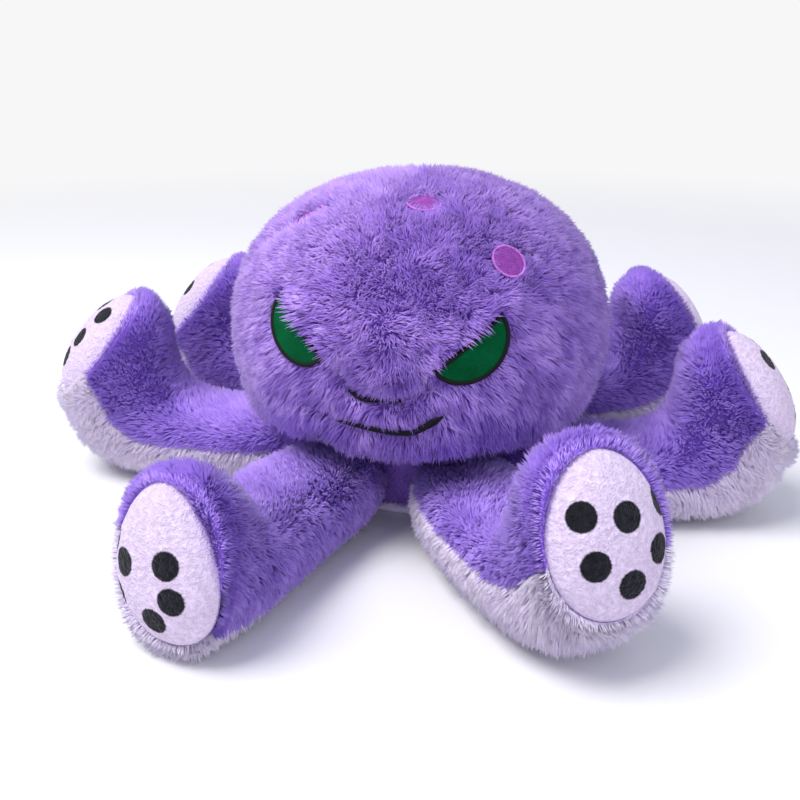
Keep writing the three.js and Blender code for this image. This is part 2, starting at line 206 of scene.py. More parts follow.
def runNodes(piece, tree, values, name):
    modifier = piece.modifiers.new("made", "NODES")
    modifier.node_group = tree
    for item in tree.interface.items_tree:
        if item.item_type == "SOCKET" and item.in_out == "INPUT" and item.name in values:
            modifier[item.identifier] = values[item.name]
    bpy.context.view_layer.update()
    graph = bpy.context.evaluated_depsgraph_get()
    mesh = bpy.data.meshes.new_from_object(piece.evaluated_get(graph), depsgraph=graph)
    piece.modifiers.remove(modifier)
    made = bpy.data.objects.new(name, mesh)
    mesh.name = name
    bpy.context.scene.collection.objects.link(made)
    return made


def removeObject(piece):
    bpy.data.objects.remove(piece)


# Fur strand: a closed seed shape, bent once, that leans along x and rises along z. Its sizes are shares.
furLowest = 0.3  # millimetres above the ground
strandSet = {"kneeLean": 0.28, "kneeRise": 0.55, "rootDrop": 0.03, "along": (0.02, 0.5, 0.5, 0.98)}


def makeStrand():
    s = strandSet
    lean, rise = s["kneeLean"], s["kneeRise"]
    points = [(0, 0, -s["rootDrop"]), (lean, -0.5, rise), (lean, 0.5, rise), (1, 0, 1)]
    faces = [(0, 1, 2), (3, 2, 1), (0, 3, 1), (0, 2, 3)]
    strand = meshObject("strandShape", np.array(points) / mm, faces)
    facesOutward(strand)
    setAttribute(strand, "along", s["along"])
    setAttribute(strand, "side", [0, -1, 1, 0])
    return strand


def attributeNode(tree, name, kind="FLOAT"):
    node = addNode(tree, "GeometryNodeInputNamedAttribute", {"Name": name}, data_type=kind)
    return node.outputs["Attribute"]


def stored(tree, geometry, name, value, kind="FLOAT", domain="POINT"):
    values = {"Geometry": geometry, "Name": name, "Value": value}
    node = addNode(tree, "GeometryNodeStoreNamedAttribute", values, data_type=kind, domain=domain)
    return node.outputs[0]


def noise(tree, scale, detail=1.0, vector=None):
    node = addNode(tree, "ShaderNodeTexNoise", {"Scale": scale, "Detail": detail, "Vector": vector})
    return node.outputs["Fac"], node.outputs["Color"]


def joined(tree, x, y, z=None):
    return addNode(tree, "ShaderNodeCombineXYZ", {"X": x, "Y": y, "Z": z}).outputs[0]


def drawn(tree, low, high, seed):
    # a random number for each point
    node = addNode(tree, "FunctionNodeRandomValue", {2: low, 3: high, "Seed": seed}, data_type="FLOAT")
    return node.outputs[1]


def realCopies(tree, points, shape, turn, scale):
    mesh = addNode(tree, "GeometryNodeObjectInfo", {"Object": shape}).outputs["Geometry"]
    values = {"Points": points, "Instance": mesh, "Rotation": turn.outputs[0], "Scale": scale}
    copies = addNode(tree, "GeometryNodeInstanceOnPoints", values)
    return addNode(tree, "GeometryNodeRealizeInstances", {"Geometry": copies.outputs[0]}).outputs[0]


def endTree(tree, result, geometry, names, material):
    # only the mesh and its material leave the tree, and none of the named attributes
    for name in names:
        values = {"Geometry": geometry, "Name": name}
        geometry = addNode(tree, "GeometryNodeRemoveAttribute", values).outputs[0]
    dressed = addNode(tree, "GeometryNodeSetMaterial", {"Geometry": geometry, "Material": material})
    tree.links.new(dressed.outputs[0], result["Geometry"])


# How strands differ: shares of the tuft's size, the strand's length and width, and the tone
furSpread = {
    "tuftNoise": 0.7,
    "tuftShake": 1.2,
    "tuftStray": 1.3,
    "patchStray": 2.6,
    "ownStray": 0.8,
    "cellLean": 0.16,
    "mostLean": 0.9,
    "lengths": (0.74, 1.08),
    "cellLength": 0.16,
    "widths": (0.7, 1.3),
    "tuftTone": 0.7,
    "patchTone": 1.1,
    "cellTone": 0.2,
    "ownTone": 0.14,
    "tones": (0.03, 0.97),
    "sideTone": 0.004,
    "skinShare": 1.3,
}


def makeFurTree():
    s = furSpread
    tree, given, result = newTree(
        "furStrands",
        "GeometryNodeTree",
        [
            ("Geometry", "NodeSocketGeometry", None),
            ("Strand", "NodeSocketObject", None),
            ("Strands per square metre", "NodeSocketFloat", 1e6),
            ("Length", "NodeSocketFloat", 0.01),
            ("Width", "NodeSocketFloat", 0.0006),
            ("Wildness", "NodeSocketFloat", 0.5),
            ("Tuft size", "NodeSocketFloat", 0.0035),
            ("Tuft pull", "NodeSocketFloat", 0.3),
            ("Swirl size", "NodeSocketFloat", 0.016),
            ("Lowest", "NodeSocketFloat", 0.0),
            ("Seed", "NodeSocketInt", 1),
            ("Fur", "NodeSocketMaterial", None),
        ],
        [("Geometry", "NodeSocketGeometry")],
    )
    place = addNode(tree, "GeometryNodeInputPosition").outputs[0]
    cover = sums(tree, "MULTIPLY", given["Strands per square metre"], attributeNode(tree, "cover"))
    values = {"Mesh": given["Geometry"], "Density": cover, "Seed": given["Seed"]}
    spread = addNode(tree, "GeometryNodeDistributePointsOnFaces", values)
    normal = spread.outputs["Normal"]
    half = (0.5, 0.5, 0.5)
    # tufts: the strands of one cell lean together at their tips
    tuftScale = sums(tree, "DIVIDE", 1.0, given["Tuft size"])
    tuftFac, tuftColour = noise(tree, sums(tree, "MULTIPLY", tuftScale, s["tuftNoise"]))
    tuftWay = vectorSums(tree, "SUBTRACT", tuftColour, half)
    shake = scaled(tree, tuftWay, sums(tree, "MULTIPLY", given["Tuft size"], s["tuftShake"]))
    shaken = vectorSums(tree, "ADD", place, shake)
    cells = addNode(tree, "ShaderNodeTexVoronoi", {"Vector": shaken, "Scale": tuftScale}, feature="F1")
    cellParts = addNode(tree, "FunctionNodeSeparateColor", {"Color": cells.outputs["Color"]}).outputs
    inward = scaled(tree, vectorSums(tree, "SUBTRACT", cells.outputs["Position"], shaken), tuftScale)
    cellWay = scaled(tree, vectorSums(tree, "SUBTRACT", cells.outputs["Color"], half), s["cellLean"])
    tuft = vectorSums(tree, "ADD", scaled(tree, inward, given["Tuft pull"]), cellWay)
    # strays: each tuft, patch and strand also has a way of its own
    patchFac, patchColour = noise(tree, sums(tree, "DIVIDE", 1.0, given["Swirl size"]))
    patchWay = scaled(tree, vectorSums(tree, "SUBTRACT", patchColour, half), s["patchStray"])
    values = {0: (-0.5, -0.5, -0.5), 1: half, "Seed": given["Seed"]}
    own = addNode(tree, "FunctionNodeRandomValue", values, data_type="FLOAT_VECTOR").outputs[0]
    stray = vectorSums(tree, "ADD", scaled(tree, tuftWay, s["tuftStray"]), patchWay)
    stray = vectorSums(tree, "ADD", stray, scaled(tree, own, s["ownStray"]))
    stray = scaled(tree, stray, sums(tree, "MULTIPLY", given["Wildness"], attributeNode(tree, "wild")))
    # the way along the skin, and how far the strand leans over
    comb = attributeNode(tree, "comb", "FLOAT_VECTOR")
    way = vectorSums(tree, "ADD", comb, vectorSums(tree, "ADD", stray, tuft))
    upward = scaled(tree, normal, vectorSums(tree, "DOT_PRODUCT", way, normal))
    way = vectorSums(tree, "SUBTRACT", way, upward)
    lean = sums(tree, "MINIMUM", vectorSums(tree, "LENGTH", way), s["mostLean"])
    rise = sums(tree, "SQRT", sums(tree, "SUBTRACT", 1.0, sums(tree, "MULTIPLY", lean, lean)))
    turn = addNode(tree, "FunctionNodeAxesToRotation", {"Primary Axis": normal, "Secondary Axis": way})

    def drawnFor(extra, low, high):
        return drawn(tree, low, high, sums(tree, "ADD", given["Seed"], extra))

    cellLength = sums(tree, "MULTIPLY_ADD", cellParts[1], s["cellLength"], 1 - s["cellLength"] / 2)
    length = sums(tree, "MULTIPLY", given["Length"], attributeNode(tree, "pile"))
    length = sums(tree, "MULTIPLY", length, drawnFor(1, *s["lengths"]))
    length = sums(tree, "MULTIPLY", length, cellLength)
    width = sums(tree, "MULTIPLY", given["Width"], drawnFor(3, *s["widths"]))
    scale = joined(tree, sums(tree, "MULTIPLY", length, lean), width, sums(tree, "MULTIPLY", length, rise))
    # the tint attribute carries each point's planned tone, with the painted light and shade of the head and
    # arms
    tone = sums(tree, "ADD", attributeNode(tree, "tint"), 0.5)
    for value, share in ((tuftFac, "tuftTone"), (patchFac, "patchTone"), (cellParts[0], "cellTone")):
        tone = sums(tree, "MULTIPLY_ADD", sums(tree, "SUBTRACT", value, 0.5), s[share], tone)
    tone = sums(tree, "ADD", tone, drawnFor(4, -s["ownTone"], s["ownTone"]))
    tone = sums(tree, "MINIMUM", sums(tree, "MAXIMUM", tone, s["tones"][0]), s["tones"][1])
    points = stored(tree, spread.outputs["Points"], "tone", tone)
    turnTo = attributeNode(tree, "turnTo", "FLOAT_VECTOR")
    shown = vectorSums(tree, "NORMALIZE", vectorSums(tree, "ADD", normal, turnTo))
    points = stored(tree, points, "skinNormal", shown, "FLOAT_VECTOR")
    real = realCopies(tree, points, given["Strand"], turn, scale)
    # nothing reaches under the ground that the toy stands on
    parts = addNode(tree, "ShaderNodeSeparateXYZ", {"Vector": place}).outputs
    lifted = joined(tree, parts[0], parts[1], sums(tree, "MAXIMUM", parts[2], given["Lowest"]))
    clear = addNode(tree, "GeometryNodeSetPosition", {"Geometry": real, "Position": lifted}).outputs[0]
    # the UV map holds the tone across and the place along the strand, for the material
    side, tone, along = [attributeNode(tree, name) for name in ("side", "tone", "along")]
    spot = joined(tree, sums(tree, "MULTIPLY_ADD", side, s["sideTone"], tone), along)
    mapped = stored(tree, clear, "OFBake", spot, "FLOAT2", "CORNER")
    # a strand is lit partly as the skin that it stands on
    faceWay = addNode(tree, "GeometryNodeInputNormal").outputs["Normal"]
    soft = scaled(tree, attributeNode(tree, "skinNormal", "FLOAT_VECTOR"), s["skinShare"])
    soft = vectorSums(tree, "NORMALIZE", vectorSums(tree, "ADD", soft, faceWay))
    values = {"Mesh": mapped, "Custom Normal": soft}
    shaded = addNode(tree, "GeometryNodeSetMeshNormal", values, mode="TANGENT_SPACE", domain="POINT")
    names = ("tone", "skinNormal", "side", "along", "comb", "cover", "pile", "wild", "tint", "turnTo")
    endTree(tree, result, shaded.outputs[0], names, given["Fur"])
    return tree


strandShape = makeStrand()
furTree = makeFurTree()


def growFur(name, skin, plan, settings, material, seed):
    # the plan says for each point of the skin where fur grows, how long and wild it is and how it lies
    for key, values in plan.items():
        setAttribute(skin, key, values, "FLOAT_VECTOR" if np.ndim(values) == 2 else "FLOAT")
    made = runNodes(
        skin,
        furTree,
        {
            "Strand": strandShape,
            "Strands per square metre": settings["perSquareCm"] * 1e4,
            "Length": settings["length"] * mm,
            "Width": settings["width"] * mm,
            "Wildness": settings["wildness"],
            "Tuft size": settings["tuft"] * mm,
            "Tuft pull": settings["tuftPull"],
            "Swirl size": settings["swirl"] * mm,
            "Lowest": furLowest * mm,
            "Seed": seed,
            "Fur": material,
        },
        name,
    )
    print(name, len(made.data.polygons), "faces")
    return made


# Thread: one arched stitch, a few dozen faces, laid along x. Its sizes are shares of the stitch.
threadSet = {"stations": 5, "sides": 5, "arch": 0.5, "endWidth": 0.45}


def makeThread():
    s = threadSet
    points = []
    for i in range(s["stations"]):
        turn = (i / (s["stations"] - 1) - 0.5) * math.pi
        girth = s["endWidth"] + (1 - s["endWidth"]) * math.cos(turn)
        for j in range(s["sides"]):
            around = 2 * math.pi * j / s["sides"]
            lift = s["arch"] * (math.cos(turn) - 1) + 0.5 * girth * math.sin(around)
            points.append((0.5 * math.sin(turn), 0.5 * girth * math.cos(around), lift))
    faces = gridFaces(s["stations"], s["sides"])
    faces.append(tuple(range(s["sides"])))
    faces.append(tuple(len(points) - 1 - j for j in range(s["sides"])))
    thread = meshObject("threadShape", np.array(points) / mm, faces)
    facesOutward(thread)
    return thread


def makeStitchTree():
    tree, given, result = newTree(
        "stitches",
        "GeometryNodeTree",
        [
            ("Geometry", "NodeSocketGeometry", None),
            ("Thread shape", "NodeSocketObject", None),
            ("Thread width", "NodeSocketFloat", 0.0005),
            ("Thread height", "NodeSocketFloat", 0.0005),
            ("Unevenness", "NodeSocketFloat", 0.1),
            ("Seed", "NodeSocketInt", 1),
            ("Thread", "NodeSocketMaterial", None),
        ],
        [("Geometry", "NodeSocketGeometry")],
    )
    uneven = sums(tree, "MULTIPLY_ADD", drawn(tree, -1.0, 1.0, given["Seed"]), given["Unevenness"], 1.0)
    out, way = attributeNode(tree, "out", "FLOAT_VECTOR"), attributeNode(tree, "way", "FLOAT_VECTOR")
    turn = addNode(tree, "FunctionNodeAxesToRotation", {"Primary Axis": out, "Secondary Axis": way})
    reach = sums(tree, "MULTIPLY", attributeNode(tree, "reach"), uneven)
    scale = joined(tree, reach, given["Thread width"], sums(tree, "MULTIPLY", given["Thread height"], uneven))
    real = realCopies(tree, given["Geometry"], given["Thread shape"], turn, scale)
    endTree(tree, result, real, ("out", "way", "reach"), given["Thread"])
    return tree


threadShape = makeThread()
stitchTree = makeStitchTree()


def sew(name, stitches, width, height, material, seed):
    # each stitch is its middle, its way, its outward direction and its length
    middles, ways, outs, lengths = [np.array([s[i] for s in stitches], float) for i in range(4)]
    rows = meshObject(name + "Rows", middles, [])
    setAttribute(rows, "way", ways, "FLOAT_VECTOR")
    setAttribute(rows, "out", outs, "FLOAT_VECTOR")
    setAttribute(rows, "reach", lengths * mm)
    sizes = {"Thread shape": threadShape, "Thread width": width * mm, "Thread height": height * mm}
    made = runNodes(rows, stitchTree, {**sizes, "Seed": seed, "Thread": material}, name)
    removeObject(rows)
    made.data.polygons.foreach_set("use_smooth", [True] * len(made.data.polygons))
    return made


# Materials
colours = {
    "headTip": (0.54, 0.335, 0.92),
    "headRoot": (0.30, 0.145, 0.66),
    "armTip": (0.52, 0.33, 1.0),
    "armRoot": (0.32, 0.165, 0.76),
    "lavenderTip": (0.92, 0.81, 1.0),
    "lavenderRoot": (0.88, 0.77, 1.0),
    "lavenderSheen": (0.7, 0.68, 1.0),
    "pad": (0.78, 0.64, 0.83),
    "padShade": (0.60, 0.52, 0.76),
    "ink": (0.010, 0.010, 0.015),
    "felt": (0.0, 0.085, 0.025),
    "black": (0.0035, 0.0035, 0.005),
    "magenta": (0.33, 0.07, 0.43),
    "pink": (0.60, 0.20, 0.70),
    "seam": (0.32, 0.25, 0.50),
}


def newMaterial(name, s):
    material = bpy.data.materials.new(name)
    material.use_nodes = True
    tree = material.node_tree
    shader = tree.nodes["Principled BSDF"]
    shader.inputs["Roughness"].default_value = s["roughness"]
    shader.inputs["Sheen Weight"].default_value = s.get("sheen", 0.0)
    shader.inputs["Specular IOR Level"].default_value = s["specular"]
    return material, tree, shader


def rgba(colour, by=1.0):
    return (*[min(1.0, c * by) for c in colour], 1)


def mixed(tree, factor, a, b):
    return addNode(tree, "ShaderNodeMix", {0: factor, 6: a, 7: b}, data_type="RGBA").outputs[2]


# Effects that more than one material uses. Darker strands are also the more saturated ones.
furTonesSet = {"tipFrom": 0.8, "redPower": 1.7, "greenPower": 2.1}


def makeFurTones():
    s = furTonesSet
    tree, given, result = newTree(
        "furTones",
        "ShaderNodeTree",
        [
            ("Tone", "NodeSocketFloat", 0.5),
            ("Along", "NodeSocketFloat", 0.5),
            ("Tip", "NodeSocketColor", (0.5, 0.5, 0.5, 1)),
            ("Root", "NodeSocketColor", (0.2, 0.2, 0.2, 1)),
            ("Dark", "NodeSocketFloat", 0.78),
            ("Light", "NodeSocketFloat", 1.1),
        ],
        [("Color", "NodeSocketColor")],
    )
    grow = addNode(tree, "ShaderNodeMapRange", {"Value": given["Along"], "From Max": s["tipFrom"]}).outputs[0]
    strand = mixed(tree, grow, given["Root"], given["Tip"])
    span = sums(tree, "SUBTRACT", given["Light"], given["Dark"])
    level = sums(tree, "MULTIPLY_ADD", span, given["Tone"], given["Dark"])
    red, green = sums(tree, "POWER", level, s["redPower"]), sums(tree, "POWER", level, s["greenPower"])
    levels = joined(tree, red, green, level)
    tree.links.new(vectorSums(tree, "MULTIPLY", strand, levels), result["Color"])
    return tree


def makeClothGrain():
    tree, given, result = newTree(
        "clothGrain",
        "ShaderNodeTree",
        [
            ("Vector", "NodeSocketVector", None),
            ("Fine scale", "NodeSocketFloat", 1400.0),
            ("Wide scale", "NodeSocketFloat", 110.0),
            ("Color", "NodeSocketColor", (0.5, 0.5, 0.5, 1)),
            ("Contrast", "NodeSocketFloat", 0.3),
        ],
        [("Color", "NodeSocketColor"), ("Fine", "NodeSocketFloat"), ("Wide", "NodeSocketFloat")],
    )
    fine, _ = noise(tree, given["Fine scale"], 3.0, given["Vector"])
    wide, _ = noise(tree, given["Wide scale"], 2.0, given["Vector"])
    both = sums(tree, "SUBTRACT", sums(tree, "ADD", fine, wide), 1.0)
    level = sums(tree, "MULTIPLY_ADD", both, given["Contrast"], 1.0)
    tree.links.new(scaled(tree, given["Color"], level), result["Color"])
    tree.links.new(fine, result["Fine"])
    tree.links.new(wide, result["Wide"])
    return tree


furTones = makeFurTones()
clothGrain = makeClothGrain()


def grouped(tree, group, values):
    node = tree.nodes.new("ShaderNodeGroup")
    node.node_tree = group
    for key, value in values.items():
        feed(tree, node.inputs[key], value)
    return node.outputs


def objectGrain(tree, colour, s):
    where = addNode(tree, "ShaderNodeTexCoord").outputs["Object"]
    scales = {"Vector": where, "Fine scale": s["fine"], "Wide scale": s["wide"]}
    return grouped(tree, clothGrain, {**scales, "Color": rgba(colour), "Contrast": s["contrast"]})


def addBump(tree, shader, s, height):
    values = {"Strength": s["bump"], "Distance": s["bumpDepth"], "Height": height}
    bump = addNode(tree, "ShaderNodeBump", values)
    tree.links.new(bump.outputs[0], shader.inputs["Normal"])


headFinish = {"roughness": 0.75, "specular": 0.2, "sheen": 0.2, "dark": 0.68, "light": 1.16}
armFinish = {"roughness": 0.75, "specular": 0.2, "sheen": 0.2, "dark": 0.70, "light": 1.1}
lavenderFinish = {"roughness": 0.75, "specular": 0.2, "sheen": 0.5, "dark": 0.96, "light": 1.06}


def furMaterial(name, s, tip, root, sheenTint=(1, 1, 1)):
    material, tree, shader = newMaterial(name, s)
    shader.inputs["Sheen Tint"].default_value = rgba(sheenTint)
    spot = addNode(tree, "ShaderNodeUVMap", uv_map="OFBake")
    parts = addNode(tree, "ShaderNodeSeparateXYZ", {"Vector": spot.outputs[0]})
    values = {"Tone": parts.outputs[0], "Along": parts.outputs[1], "Tip": rgba(tip), "Root": rgba(root)}
    tones = grouped(tree, furTones, {**values, "Dark": s["dark"], "Light": s["light"]})
    tree.links.new(tones["Color"], shader.inputs["Base Color"])
    return material


headFurLook = furMaterial("headFurFinish", headFinish, colours["headTip"], colours["headRoot"])
armFurLook = furMaterial("armFurFinish", armFinish, colours["armTip"], colours["armRoot"])
lavenderTones = [colours[key] for key in ("lavenderTip", "lavenderRoot", "lavenderSheen")]
lavenderFurLook = furMaterial("lavenderFurFinish", lavenderFinish, *lavenderTones)

clothFinish = {"roughness": 0.95, "specular": 0.1, "fine": 900.0, "wide": 130.0, "contrast": 0.6}


def clothMaterial(name, colour, s=clothFinish):
    material, tree, shader = newMaterial(name, s)
    grain = objectGrain(tree, colour, s)
    tree.links.new(grain["Color"], shader.inputs["Base Color"])
    if "bump" in s:
        addBump(tree, shader, s, grain["Fine"])
    return material


headClothLook = clothMaterial("headCloth", colours["headRoot"])
armClothLook = clothMaterial("armCloth", colours["armRoot"])
lavenderClothLook = clothMaterial("lavenderCloth", colours["lavenderRoot"])

feltFinish = {
    "roughness": 0.95,
    "specular": 0.08,
    "fine": 1400.0,
    "wide": 110.0,
    "contrast": 0.9,
    "bump": 0.5,
    "bumpDepth": 0.0003,
}
feltLook = clothMaterial("eyeFelt", colours["felt"], feltFinish)
spotLook = clothMaterial("spotCloth", colours["magenta"], feltFinish)

threadFinish = {"specular": 0.25, "fine": 2600.0, "wide": 300.0, "contrast": 0.9}


def threadMaterial(name, colour, roughness):
    return clothMaterial(name, colour, {**threadFinish, "roughness": roughness})


blackThreadLook = threadMaterial("blackThread", colours["black"], 0.45)
magentaThreadLook = threadMaterial("magentaThread", colours["magenta"], 0.5)
pinkThreadLook = threadMaterial("pinkThread", colours["pink"], 0.42)
seamThreadLook = threadMaterial("seamThread", colours["seam"], 0.6)

# Pads: a short nap with printed dots. The attribute fromDot is the distance to a dot's edge in millimetres.
padFinish = {
    "roughness": 0.95,
    "sheen": 0.12,
    "specular": 0.08,
    "fine": 1100.0,
    "wide": 420.0,
    "contrast": 0.0,
    "wideShare": 0.6,
    "napRange": (0.36, 0.62),
    "patchScale": 28.0,
    "patchShare": 0.35,
    "clothLevels": (0.8, 1.09),
    "inkLevels": (0.5, 1.7),
    "dotRagged": 0.9,
    "dotEdge": 0.35,
    "bump": 0.85,
    "bumpDepth": 0.0008,
}


def padMaterial(name):
    s = padFinish
    material, tree, shader = newMaterial(name, s)
    grain = objectGrain(tree, colours["pad"], s)
    wide = sums(tree, "MULTIPLY", grain["Wide"], s["wideShare"])
    nap = sums(tree, "MULTIPLY_ADD", grain["Fine"], 1 - s["wideShare"], wide)
    low, high = s["napRange"]
    nap = addNode(tree, "ShaderNodeMapRange", {"Value": nap, "From Min": low, "From Max": high}).outputs[0]
    cloth, ink = [
        mixed(tree, nap, rgba(colours[key], levels[0]), rgba(colours[key], levels[1]))
        for key, levels in (("pad", s["clothLevels"]), ("ink", s["inkLevels"]))
    ]
    where = addNode(tree, "ShaderNodeTexCoord").outputs["Object"]
    patches, _ = noise(tree, s["patchScale"], 2.0, where)
    cloth = mixed(tree, sums(tree, "MULTIPLY", patches, s["patchShare"]), cloth, rgba(colours["padShade"]))
    away = addNode(tree, "ShaderNodeAttribute", attribute_name="fromDot").outputs["Fac"]
    ragged = sums(tree, "MULTIPLY_ADD", sums(tree, "SUBTRACT", grain["Fine"], 0.5), s["dotRagged"], away)
    edges = {"From Min": -s["dotEdge"], "From Max": s["dotEdge"], "To Min": 1.0, "To Max": 0.0}
    printed = addNode(tree, "ShaderNodeMapRange", {"Value": ragged, **edges}).outputs[0]
    tree.links.new(mixed(tree, printed, cloth, ink), shader.inputs["Base Color"])
    addBump(tree, shader, s, nap)
    return material


padLook = padMaterial("padVelour")

# Head
headSet = {
    "radius": 105,
    "halfHeight": 85,
    "centreHeight": 97.5,
    "roundness": 2.25,
    "skinDepth": 8.6,
    "poleRadius": 0.4,
    "stemRadius": 48.7,
    "stemInset": 3,
    "stemFoot": 6.5,
    "riseStart": 67.9,
    "ceiling": 47.5,
    "riseDeg": 20,
    "riseShares": (0.25, 0.5, 0.75, 1.0),
    "ceilingShares": (0.35, 0.7, 0.95),
    "stemShares": (0.1, 0.4, 0.7, 1.0),
    "columns": 300,
    "steps": 150,
    "bump": 1.3,
    "bumpScale": 38,
    "underBand": 0.5,
    "underCover": 0.25,
    "underPile": 0.4,
    "bodyStep": 3,
    "fill": 0.9,
}


def softPower(value, roundness):
    return np.sign(value) * np.abs(value) ** (2 / roundness)


def headOutline(elevation, depth):
    s = headSet
    radius = (s["radius"] - depth) * softPower(np.cos(elevation), s["roundness"])
    height = (s["halfHeight"] - depth) * softPower(np.sin(elevation), s["roundness"])
    return radius, s["centreHeight"] + height


def headProfile(depth):
    # from the pole down to where the fur reaches the arms, in under the rim and down the stem
    s = headSet
    slope = math.tan(math.radians(s["riseDeg"]))
    ceiling = s["ceiling"] + depth
    elevations = np.linspace(math.pi / 2, -math.pi / 2, s["steps"] * 2)
    radius, height = headOutline(elevations, depth)
    under = ceiling + slope * np.maximum(0, radius - s["riseStart"])
    last = int(np.argmin(height > under))
    outline = list(zip(radius[:last], height[:last]))[::2]
    outline[0] = (s["poleRadius"], outline[0][1])
    rim = (radius[last - 1], height[last - 1])
    outline.append(rim)
    for share in s["riseShares"]:
        outline.append((rim[0] + (s["riseStart"] - rim[0]) * share, rim[1] + (ceiling - rim[1]) * share))
    stem = s["stemRadius"] - s["stemInset"]
    for share in s["ceilingShares"]:
        outline.append((s["riseStart"] + (stem - s["riseStart"]) * share, ceiling))
    for share in s["stemShares"]:
        outline.append((stem, ceiling + (s["stemFoot"] - ceiling) * share))
    return np.array(outline)


def spin(profile, columns):
    angles = np.linspace(0, 2 * math.pi, columns, endpoint=False)
    rows = []
    for radius, height in profile:
        level = np.full(columns, height)
        rows.append(np.stack([radius * np.sin(angles), -radius * np.cos(angles), level], 1))
    return np.array(rows), angles


def headPlace(azimuthDeg, elevationDeg, sunk, turnDeg):
    s = headSet
    azimuth = math.radians(azimuthDeg)
    radius, height = headOutline(math.radians(elevationDeg), 0)
    outwards = (radius / s["radius"]) ** (s["roundness"] - 1) / s["radius"]
    rise = (height - s["centreHeight"]) / s["halfHeight"]
    upwards = math.copysign(abs(rise) ** (s["roundness"] - 1), rise) / s["halfHeight"]
    steep = math.atan2(upwards, outwards)
    out = Vector((math.sin(azimuth) * math.cos(steep), -math.cos(azimuth) * math.cos(steep), math.sin(steep)))
    right = Vector((math.cos(azimuth), math.sin(azimuth), 0))
    up = out.cross(right)
    place = Matrix((right, up, out)).transposed().to_4x4()
    spot = Vector((math.sin(azimuth) * radius, -math.cos(azimuth) * radius, height)) - out * sunk
    place.translation = spot
    return place @ Matrix.Rotation(math.radians(turnDeg), 4, "Z")


# Eyes: half-moons drawn with the straight upper edge along x
eyeSet = {
    "halfLength": 21.5,
    "height": 19,
    "border": 2.2,
    "sunk": 4.6,
    "thickness": 2.4,
    "stitch": 0.42,
    "thread": 0.55,
    "threadHeight": 0.9,
    "borderRise": 0.35,
    "feltInset": 0.6,
    "centreShare": 0.15,
    "arcPoints": 40,
    "topPoints": 24,
    "topGap": 1.5,
    "nearby": 25,
    "farAway": 50,
}
eyes = [
    {"name": "Left", "azimuth": -29.5, "elevation": 9.3, "slant": -40, "brow": 0.6, "browAt": -5},
    {"name": "Right", "azimuth": 26.0, "elevation": 6.9, "slant": 36, "brow": 0.55, "browAt": 15},
]
spotSet = {
    "radius": 9.0,
    "rim": 1.25,
    "rimRise": 0.45,
    "thickness": 1.6,
    "discInset": 0.5,
    "discPoints": 64,
    "stitch": 0.42,
    "thread": 0.55,
    "threadHeight": 0.9,
    "rowGap": 0.5,
    "rowShift": 0.37,
    "fillStitch": 4.2,
    "fillShortest": 0.8,
    "fillThread": 0.55,
    "fillHeight": 0.5,
    "fillRise": 0.15,
}
spots = [
    {"name": "Left", "azimuth": -56, "elevation": 54, "sunk": 7.1, "hidden": 0.8},
    {"name": "Centre", "azimuth": 12.3, "elevation": 69, "sunk": 6.8, "hidden": 0.94},
    {"name": "Right", "azimuth": 40.4, "elevation": 38, "sunk": 5.3, "hidden": 0.55},
]
mouthSet = {
    "stitch": 0.42,
    "thread": 0.6,
    "threadHeight": 1.1,
    "stations": 60,
    "furStations": 40,
    "endWidth": 0.35,
    "taper": 8,
    "press": 1.4,
    "pressWidth": 3.5,
}
mouthLines = [
    {
        "name": "Lower",
        "trim": 0.3,
        "points": [(-13, -12.4), (-5, -13.4), (3, -14.1), (8.5, -13.4), (15.8, -7.7)],
        "sunk": (3.4, 1.2),
        "width": (1.9, 3.9),
    },
    {
        "name": "Upper",
        "trim": 0.1,
        "points": [(-9.9, -2.3), (-5.5, -4.4), (0, -3.9), (4.9, -3.9)],
        "sunk": (6.0, 4.6),
        "width": (2.0, 2.5),
    },
]


def eyePlace(eye):
    return headPlace(eye["azimuth"], eye["elevation"], 0, eye["slant"])


def spotCentre(spot):
    return np.array(headPlace(spot["azimuth"], spot["elevation"], headSet["skinDepth"], 0).translation)


def localPoints(place, points):
    back = np.array(place.inverted())
    return points @ back[:3, :3].T + back[:3, 3]


def eyeClear(place, points):
    # how far outside the eye's edge a point lies
    s = eyeSet
    local = localPoints(place, points)
    x, y, z = local[:, 0], local[:, 1], local[:, 2]
    top = s["height"] / 2
    below = np.hypot(x / s["halfLength"], np.minimum(y - top, 0) / s["height"])
    edge = np.maximum((below - 1) * s["height"], y - top - s["topGap"])
    return np.where(np.abs(z) < s["nearby"], edge, s["farAway"])


def headPath(points, sunk):
    return [headPlace(azimuth, elevation, sunk, 0).translation for azimuth, elevation in points]


def smoothPath(points, count):
    keys = [Vector(p) for p in points]
    ends = [keys[0] * 2 - keys[1], *keys, keys[-1] * 2 - keys[-2]]
    made = []
    for i in range(count):
        t = i / (count - 1) * (len(keys) - 1)
        k = min(int(t), len(keys) - 2)
        made.append(eased(*ends[k : k + 4], t - k))
    return made


def fromPath(points, path):
    # distance to the nearest point of a path, and how far above that point a point lies
    path = np.array([tuple(p) for p in path])
    nearest, above = np.full(len(points), 1e3), np.zeros(len(points))
    for spot in path:
        away = np.linalg.norm(points - spot, axis=1)
        closer = away < nearest
        nearest = np.where(closer, away, nearest)
        above = np.where(closer, points[:, 2] - spot[2], above)
    return nearest, above


